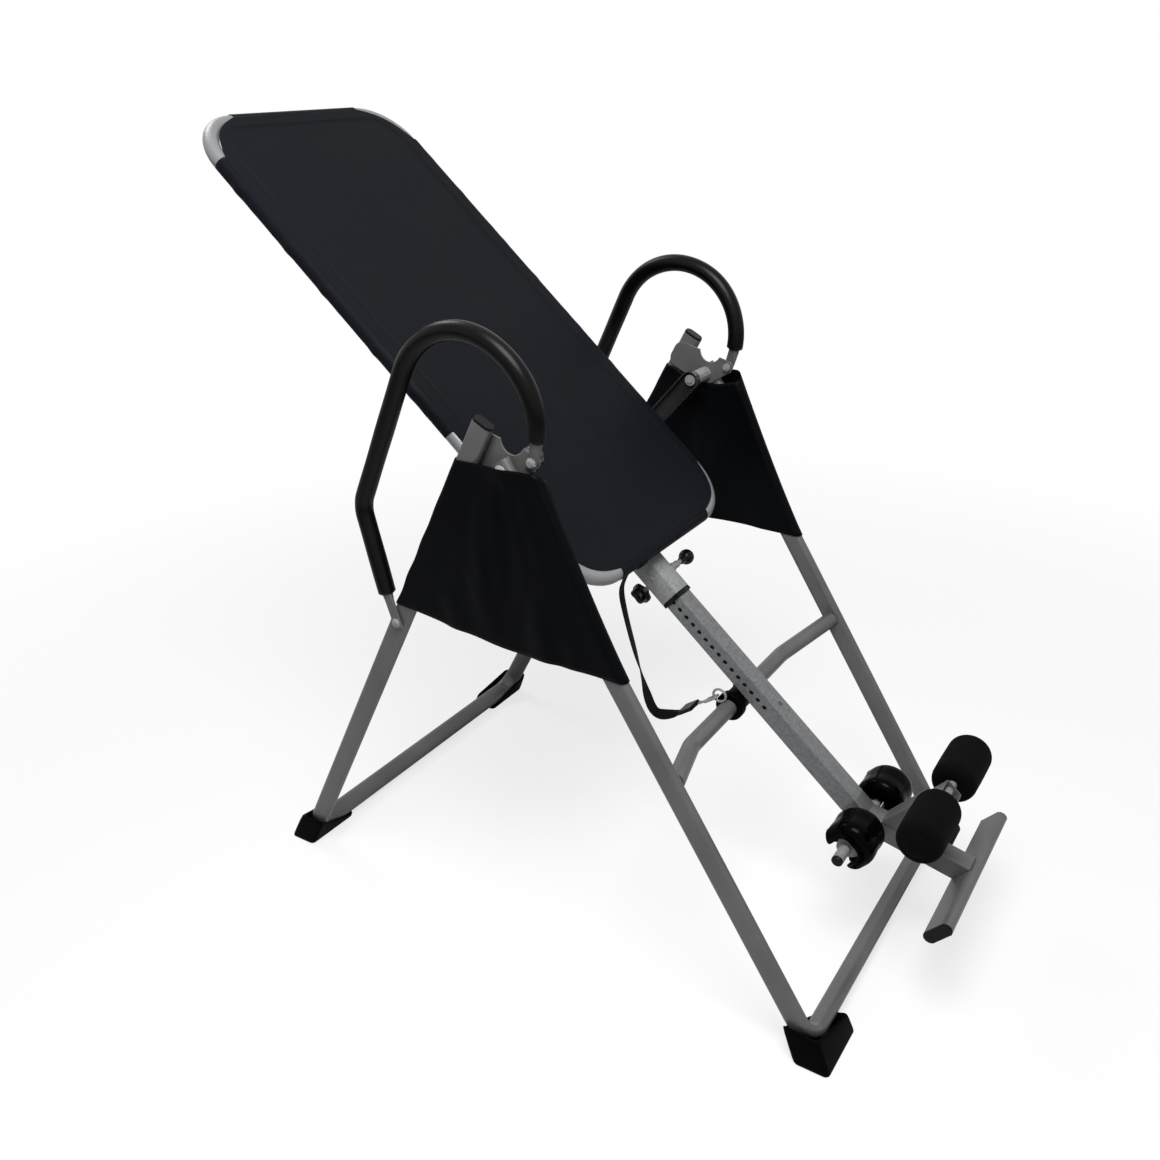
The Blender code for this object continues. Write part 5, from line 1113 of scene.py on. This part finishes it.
def roller_profile():
    """A bolster: full radius along the middle, and ends that close along a flat ellipse."""
    length = ROLLER_TO - ROLLER_FROM
    a = np.linspace(0, math.pi / 2, 16)
    start = np.stack([ROLLER_RADIUS - ROLLER_DROP * (1 - np.sin(a)), ROLLER_END * (1 - np.cos(a))], 1)
    bulge = ROLLER_RADIUS + ROLLER_BULGE * np.sin(np.linspace(0.2, math.pi - 0.2, 9))
    along = np.linspace(ROLLER_END + ROLLER_EDGE, length - ROLLER_END - ROLLER_EDGE, 9)
    end = np.stack([start[::-1, 0], length + 0.001 - start[::-1, 1] * 0.95], 1)
    middle = np.stack([bulge, along], 1)
    return np.concatenate([INNER_FACE, start, middle, end, np.add(OUTER_FACE, (0, length))])


def heel_section(outer, slot, slot_top):
    """A horseshoe: an outer arc with straight legs and round tips, and a slot for the rod. The slot's
    half width goes from slot at the legs to slot_top at its crown, with the sine of the angle."""
    turn = np.linspace(0, math.pi, 31)
    spokes = around(turn)
    tip = (outer - slot) / 2
    leg = np.linspace(-HEEL_SKIRT + tip, -0.003, 6)
    curl = -tip * around(np.linspace(0, math.pi, 9)[1:-1])
    crown = (slot + (slot_top - slot) * np.sin(turn) ** 1.5)[:, None] * spokes
    right, left = np.stack([np.ones(6), leg], 1), np.stack([-np.ones(6), leg[::-1]], 1)
    left_tip, right_tip = ((x, leg[0]) + curl for x in (-outer + tip, slot + tip))
    outside = [right * (outer, 1), outer * spokes, left * (outer, 1), left_tip]
    return np.concatenate(outside + [left[::-1] * (slot, 1), crown[::-1], right[::-1] * (slot, 1), right_tip])


def heel_pad_grid(side):
    """A bolster: the outer radius falls along a quarter ellipse at both ends. A groove takes the plate,
    and a lip beyond it leaves the plate in view beside the rod only."""
    rise = np.linspace(0, 0.5, 10) * math.pi
    rounded = HEEL_X - HEEL_HALF + HEEL_ROUND * (1 - np.cos(rise))
    groove = [PLATE_FROM - PLATE_EDGE, PLATE_FROM, PLATE_TO, PLATE_TO + PLATE_EDGE]
    x = np.concatenate([rounded, np.linspace(*HEEL_MIDDLE), groove, HEEL_LIP_AT])
    drop = HEEL_RADIUS - HEEL_END_RADIUS
    outer = np.full(len(x), HEEL_RADIUS)
    outer[: len(rise)] = HEEL_END_RADIUS + drop * np.sin(rise)
    over = np.clip((x - HEEL_FALL_FROM) / (HEEL_FALL_TO - HEEL_FALL_FROM), 0, 1)
    outer = np.minimum(outer, HEEL_END_RADIUS + drop * np.sqrt(1 - over**2))
    outer = outer - HEEL_WAIST * np.clip(1 - np.abs(x - HEEL_X) / HEEL_HALF, 0, 1) ** 2
    grooved = (x > PLATE_FROM - PLATE_EDGE / 2) & (x < PLATE_TO + PLATE_EDGE / 2)
    slot = np.where(grooved, HEEL_GROOVE, np.where(x > PLATE_TO, HEEL_LIP, HEEL_SLOT))
    top = np.where(grooved, HEEL_GROOVE, HEEL_SLOT)
    sections = np.stack([heel_section(*row) for row in zip(outer, slot, top)])
    return on_bed((side * x)[:, None], HEEL_AT + sections[..., 0], HEEL_OUT + sections[..., 1])


for label, side in SIDES:
    body = "roller_left" if label == "L" else "roller_right"
    grid = turned(roller_profile(), on_bed(side * ROLLER_FROM, ROLLER_AT, ROLLER_OUT), side * ACROSS, 56)
    foam = add(f"ankle_foam_{label}", ROLLER_FOAM, grid, body, f"roller_{label}", caps=False, crease=75)
    pad = add(f"heel_pad_{label}", HEEL_SKIN, heel_pad_grid(side), "boom", f"heel_cup_{label}", crease=60)
print("roller", 2 * ROLLER_RADIUS, "m across and", round(ROLLER_TO - ROLLER_FROM, 3), "m long")

# %% [markdown]
# The boom is square steel tube that slides in a square sleeve, held by a sprung pull pin and a knob.
# These pieces already have the right form, so a merged copy of each solid gets its edges rounded.
# A real tube's edges are never sharp, and that small radius is what catches the light.

# %% Square tubes, plates and brackets
SAME_POINT, FLAT_BELOW = 2e-6, math.radians(0.5)
SOFT_CREASE, BEVEL_ABOVE = 32.0, math.radians(35)
SOFTENED = (
    ("boom_sleeve", ZINC, "bed", 0.0006),
    ("boom_tube", BOOM_ZINC, "boom", 0.0012),
    ("foot_post", PAINT, "boom", 0.0012),
    ("ankle_socket", PAINT, "boom", 0.0005),
    ("roller_post", PAINT, "ankle_clamp", 0.0006),
    ("sleeve_collar", CAP_PLASTIC, "bed", 0.0006),
)
SOFTENED_PAIRS = (
    ("hinge_bracket", PAINT, "rear_frame", 0.0006),
    ("pivot_arm", ARM_PAINT, "bed", 0.0016),
    ("handle", PAINT, "rear_frame", 0.0),
    ("heel_plate", ZINC, "boom", 0.0004),
)


def softened(node_name, finish, body, radius):
    mesh = nodes[node_name].data.copy()
    work = bmesh.new()
    work.from_mesh(mesh)
    bmesh.ops.remove_doubles(work, verts=work.verts, dist=SAME_POINT)
    bmesh.ops.dissolve_limit(work, angle_limit=FLAT_BELOW, verts=work.verts, edges=work.edges)
    work.to_mesh(mesh)
    work.free()
    piece = put(f"{node_name}_soft", mesh, finish, SOFT_CREASE)
    if radius:
        edge = piece.modifiers.new("soft_edges", "BEVEL")
        edge.width, edge.segments, edge.limit_method, edge.angle_limit = radius, 2, "ANGLE", BEVEL_ABOVE
        edge.use_clamp_overlap = True
    dress(piece, body, node_name)


for row in SOFTENED:
    softened(*row)
for label, _ in SIDES:
    for stem, *row in SOFTENED_PAIRS:
        softened(f"{stem}_{label}", *row)
print("softened pieces:", sum(p.name.endswith("_soft") for p in PIECES))

# %% [markdown]
# The foot bar is a tall flat-oval tube. The pull pin ends in a plastic ball on a short neck, and the
# lock knob under the sleeve has five lobes: its radius falls and rises five times in one turn. Both
# are worked out again here, because a hand sees and feels them.

# %% Foot bar, pull pin and knob
FOOT_BAR_AT, FOOT_BAR_OUT = -0.9725, -0.081
FOOT_BAR_THICK, FOOT_BAR_TALL, FOOT_BAR_HALF = 0.022, 0.055, 0.166
PIN_AT, BOOM_OUT = -0.2518, -0.1638
SLEEVE_HALF, BOOM_HALF = 0.0225, 0.019
BALL_X, BALL_RADIUS, TIP_RADIUS = 0.102, 0.0145, 0.0004
NECK = ((0.0044, 0.078), (0.0062, 0.078), (0.0062, 0.083), (0.0085, 0.092), (0.0044, 0.096))
BARREL = ((0.0048, 0.0486), (0.0068, 0.0486), (0.0068, 0.066), (0.0048, 0.066))
PIN_CORNER = 0.0008
KNOB_RADIUS, KNOB_LOBES, KNOB_DEPTH = 0.020, 5, 0.0035
KNOB_TOP, KNOB_THICK, KNOB_CORNER = 0.0285, 0.018, 0.0014
KNOB_HUB, KNOB_POINTS = 0.009, 100
KNOB_PROFILE = (
    (0.0044, 0), (0.011, 0), (0.0185, 0.004), (KNOB_RADIUS, 0.008),
    (KNOB_RADIUS, KNOB_THICK - 0.002), (0.016, KNOB_THICK), (TIP_RADIUS, KNOB_THICK),
)
STEM = ((0.004, 0.0003), (0.004, 0.034))


def knob_grid():
    """Round each level of a profile, the radius is cut by depth * (1 - cos(lobes * angle)) / 2."""
    profile = bent_line(KNOB_PROFILE, KNOB_CORNER, 8)
    angle = np.arange(KNOB_POINTS) * 2 * math.pi / KNOB_POINTS
    cut = KNOB_DEPTH * (1 - np.cos(KNOB_LOBES * angle)) / 2
    radius = profile[:, :1] - cut * np.clip((profile[:, :1] - KNOB_HUB) / KNOB_HUB, 0, 1)
    down = BOOM_OUT - BOOM_HALF - KNOB_TOP - profile[:, 1:]
    return on_bed(radius * np.cos(angle), PIN_AT + radius * np.sin(angle), down)


bar_line = on_bed(np.array([-1, 1]) * FOOT_BAR_HALF, FOOT_BAR_AT, FOOT_BAR_OUT)
bar = carry(bar_line, oval(FOOT_BAR_TALL, FOOT_BAR_THICK, 56), OUT_OF_BED)
add("foot_bar_tube", PAINT, bar, "boom", "foot_bar")

swing = np.linspace(0, math.pi, 27)
ball = np.stack([np.maximum(BALL_RADIUS * np.sin(swing), TIP_RADIUS), -BALL_RADIUS * np.cos(swing)], 1)
pin_middle = on_bed(0, PIN_AT, BOOM_OUT)
add("pull_pin_ball", CAP_PLASTIC, turned(ball, on_bed(BALL_X, PIN_AT, BOOM_OUT), ACROSS), "pull_pin")
for name, finish, profile, body in (
    ("pull_pin_neck", CAP_PLASTIC, NECK, "pull_pin"),
    ("pull_pin_barrel", ZINC, BARREL, "bed"),
):
    add(name, finish, turned(bent_line(profile, PIN_CORNER, 6), pin_middle, ACROSS), body, caps=False)

add("lock_knob_star", CAP_PLASTIC, knob_grid(), "lock_knob", "lock_knob", crease=60)
stem_top = on_bed(0, PIN_AT, BOOM_OUT - BOOM_HALF)
add("lock_knob_stem", ZINC, turned(STEM, stem_top, -OUT_OF_BED, 24), "lock_knob")
print("foot bar", 2 * FOOT_BAR_HALF, "m wide; pull ball", 2 * BALL_RADIUS, "m across")

# %% [markdown]
# Small fixings finish the sleeve: two rivet heads on its near side and a screw on the boom's top.
# They are low domes, turned like the rest. The screw is nearly flush, so it slides into the sleeve.

# %% Rivets and screw
RIVETS_AT, RIVET_RADIUS, RIVET_HEIGHT = (-0.247, 0.10), 0.0042, 0.0022
SCREW_AT, SCREW_RADIUS, SCREW_HEIGHT = -0.560, 0.0045, 0.0006
DOME_SUNK = 0.0002


def dome(seat, way, radius, height):
    """A low dome: radius * cos(a) out and height * sin(a) up, sunk a little into its seat."""
    a = np.linspace(0, math.pi / 2, 8)
    profile = np.stack([np.maximum(radius * np.cos(a), DOME_SUNK), height * np.sin(a) - DOME_SUNK], 1)
    return patch(turned(profile, seat, way, 24), ring=True, caps=True)


seats = [on_bed(-SLEEVE_HALF, at, BOOM_OUT) for at in RIVETS_AT]
heads = [dome(seat, -ACROSS, RIVET_RADIUS, RIVET_HEIGHT) for seat in seats]
rivets = dress(make_piece("sleeve_rivets", ZINC, *heads), "bed")
screw_seat = on_bed(0.0, SCREW_AT, BOOM_OUT + BOOM_HALF)
head = dome(screw_seat, OUT_OF_BED, SCREW_RADIUS, SCREW_HEIGHT)
screw = dress(make_piece("boom_screw", ARM_PAINT, head), "boom")
print("fixings:", rivets.name, screw.name)

# %% [markdown]
# Every solid that stays gets the finish that belongs to its slot.

# %% Finishes for the kept solids
kept = 0
for solid in nodes.values():
    for place in solid.material_slots:
        slot = place.material.name.split(".")[0] if place.material else None
        if slot in SLOT_FINISHES:
            place.material = SLOT_FINISHES[slot][0]
            kept += 1
print("slots with a new finish:", kept)

# %% [markdown]
# A photograph for a catalogue is lit from all round, with one large soft lamp above the near side.
# The floor is pale and keeps the shadow, but throws back less light than it shows, as a dull studio
# floor does, so the sides of the tubes stay darker than their tops. Rays from the camera see a white
# room, so the picture has a white background, and mirror-like metal reflects that same room.

# %% Floor, room and lamps
FLOOR_HALF, FLOOR_LEVEL = 14.0, -0.0005
FLOOR_GREY, FLOOR_BOUNCE = 0.90, 0.40
FADE_FROM, FADE_TO, FADE_LEAST = 0.9, 2.6, 0.72
ROOM_LIGHT, ROOM_TINT = 0.29, (0.97, 0.985, 1.0, 1)
WHITE = {"Color": (1, 1, 1, 1), "Strength": 1.0}
NEARLY_UP = (0.02, 0.03, 1.0)
LAMPS = (
    ("key_lamp", (-1.05, -0.70, 2.60), (0, -0.1, 0.8), 1.3, 72),
    ("head_lamp", (0.4, 2.4, 3.2), (0, 0, 0.8), 1.4, 30),
)


def add_stage(name, data):
    thing = bpy.data.objects.new(name, data)
    bpy.context.scene.collection.objects.link(thing)
    return thing


def cleared_tree(data):
    """A node tree with nothing in it yet but a light path, whose sockets tell the kinds of ray apart."""
    data.use_nodes = True
    data.node_tree.nodes.clear()
    return data.node_tree, data.node_tree.nodes.new("ShaderNodeLightPath").outputs


def studio_world():
    """White for rays from the camera and for mirror and clear rays, and dimmer for soft light."""
    world = bpy.data.worlds.new("white_room")
    tree, ray = cleared_tree(world)
    direct = calc(tree, "MAXIMUM", ray["Is Camera Ray"], ray["Is Glossy Ray"])
    direct = calc(tree, "MAXIMUM", direct, ray["Is Transmission Ray"])
    white = node(tree, "ShaderNodeBackground", WHITE)
    soft = node(tree, "ShaderNodeBackground", {"Color": ROOM_TINT, "Strength": ROOM_LIGHT})
    mixed = node(tree, "ShaderNodeMixShader", {0: direct, 1: soft.outputs[0], 2: white.outputs[0]})
    node(tree, "ShaderNodeOutputWorld", {"Surface": mixed.outputs[0]})
    bpy.context.scene.world = world


def studio_floor():
    """A matte floor that fades to white away from the table, for rays from the camera only."""
    corners = ((-1, -1), (1, -1), (1, 1), (-1, 1))
    mesh = bpy.data.meshes.new("studio_floor")
    mesh.from_pydata([(x * FLOOR_HALF, y * FLOOR_HALF, FLOOR_LEVEL) for x, y in corners], [], [(0, 1, 2, 3)])
    made = bpy.data.materials.new("pale_floor")
    tree, ray = cleared_tree(made)
    away = node(tree, "ShaderNodeVectorMath", {0: coordinates(tree)["Object"]}, operation="LENGTH")
    wires = {"Value": away.outputs["Value"], "From Min": FADE_FROM, "From Max": FADE_TO, "To Min": FADE_LEAST}
    share = node(tree, "ShaderNodeMapRange", wires).outputs["Result"]
    glow = calc(tree, "MULTIPLY", share, ray["Is Camera Ray"])
    grey = calc(tree, "MULTIPLY_ADD", ray["Is Diffuse Ray"], FLOOR_BOUNCE - FLOOR_GREY, FLOOR_GREY)
    matte = node(tree, "ShaderNodeBsdfDiffuse", {"Color": grey})
    white = node(tree, "ShaderNodeEmission", WHITE)
    mixed = node(tree, "ShaderNodeMixShader", {0: glow, 1: matte.outputs[0], 2: white.outputs[0]})
    node(tree, "ShaderNodeOutputMaterial", {"Surface": mixed.outputs[0]})
    mesh.materials.append(made)
    add_stage("studio_floor", mesh)


def soft_lamp(name, at, aim, size, watts):
    lamp = bpy.data.lights.new(name, "AREA")
    lamp.shape, lamp.size, lamp.energy = "DISK", size, watts
    back = unit(np.subtract(at, aim))
    side = unit(np.cross(NEARLY_UP, back))
    add_stage(name, lamp).matrix_world = placed(side, np.cross(back, side), back, at)


studio_world()
studio_floor()
for lamp in LAMPS:
    soft_lamp(*lamp)
bpy.context.scene.view_settings.view_transform = "Standard"

# %% Sizes and finish
triangles = sum(len(p.vertices) - 2 for piece in PIECES for p in piece.data.polygons)
print("pieces:", len(PIECES), "triangles before modifiers:", triangles)
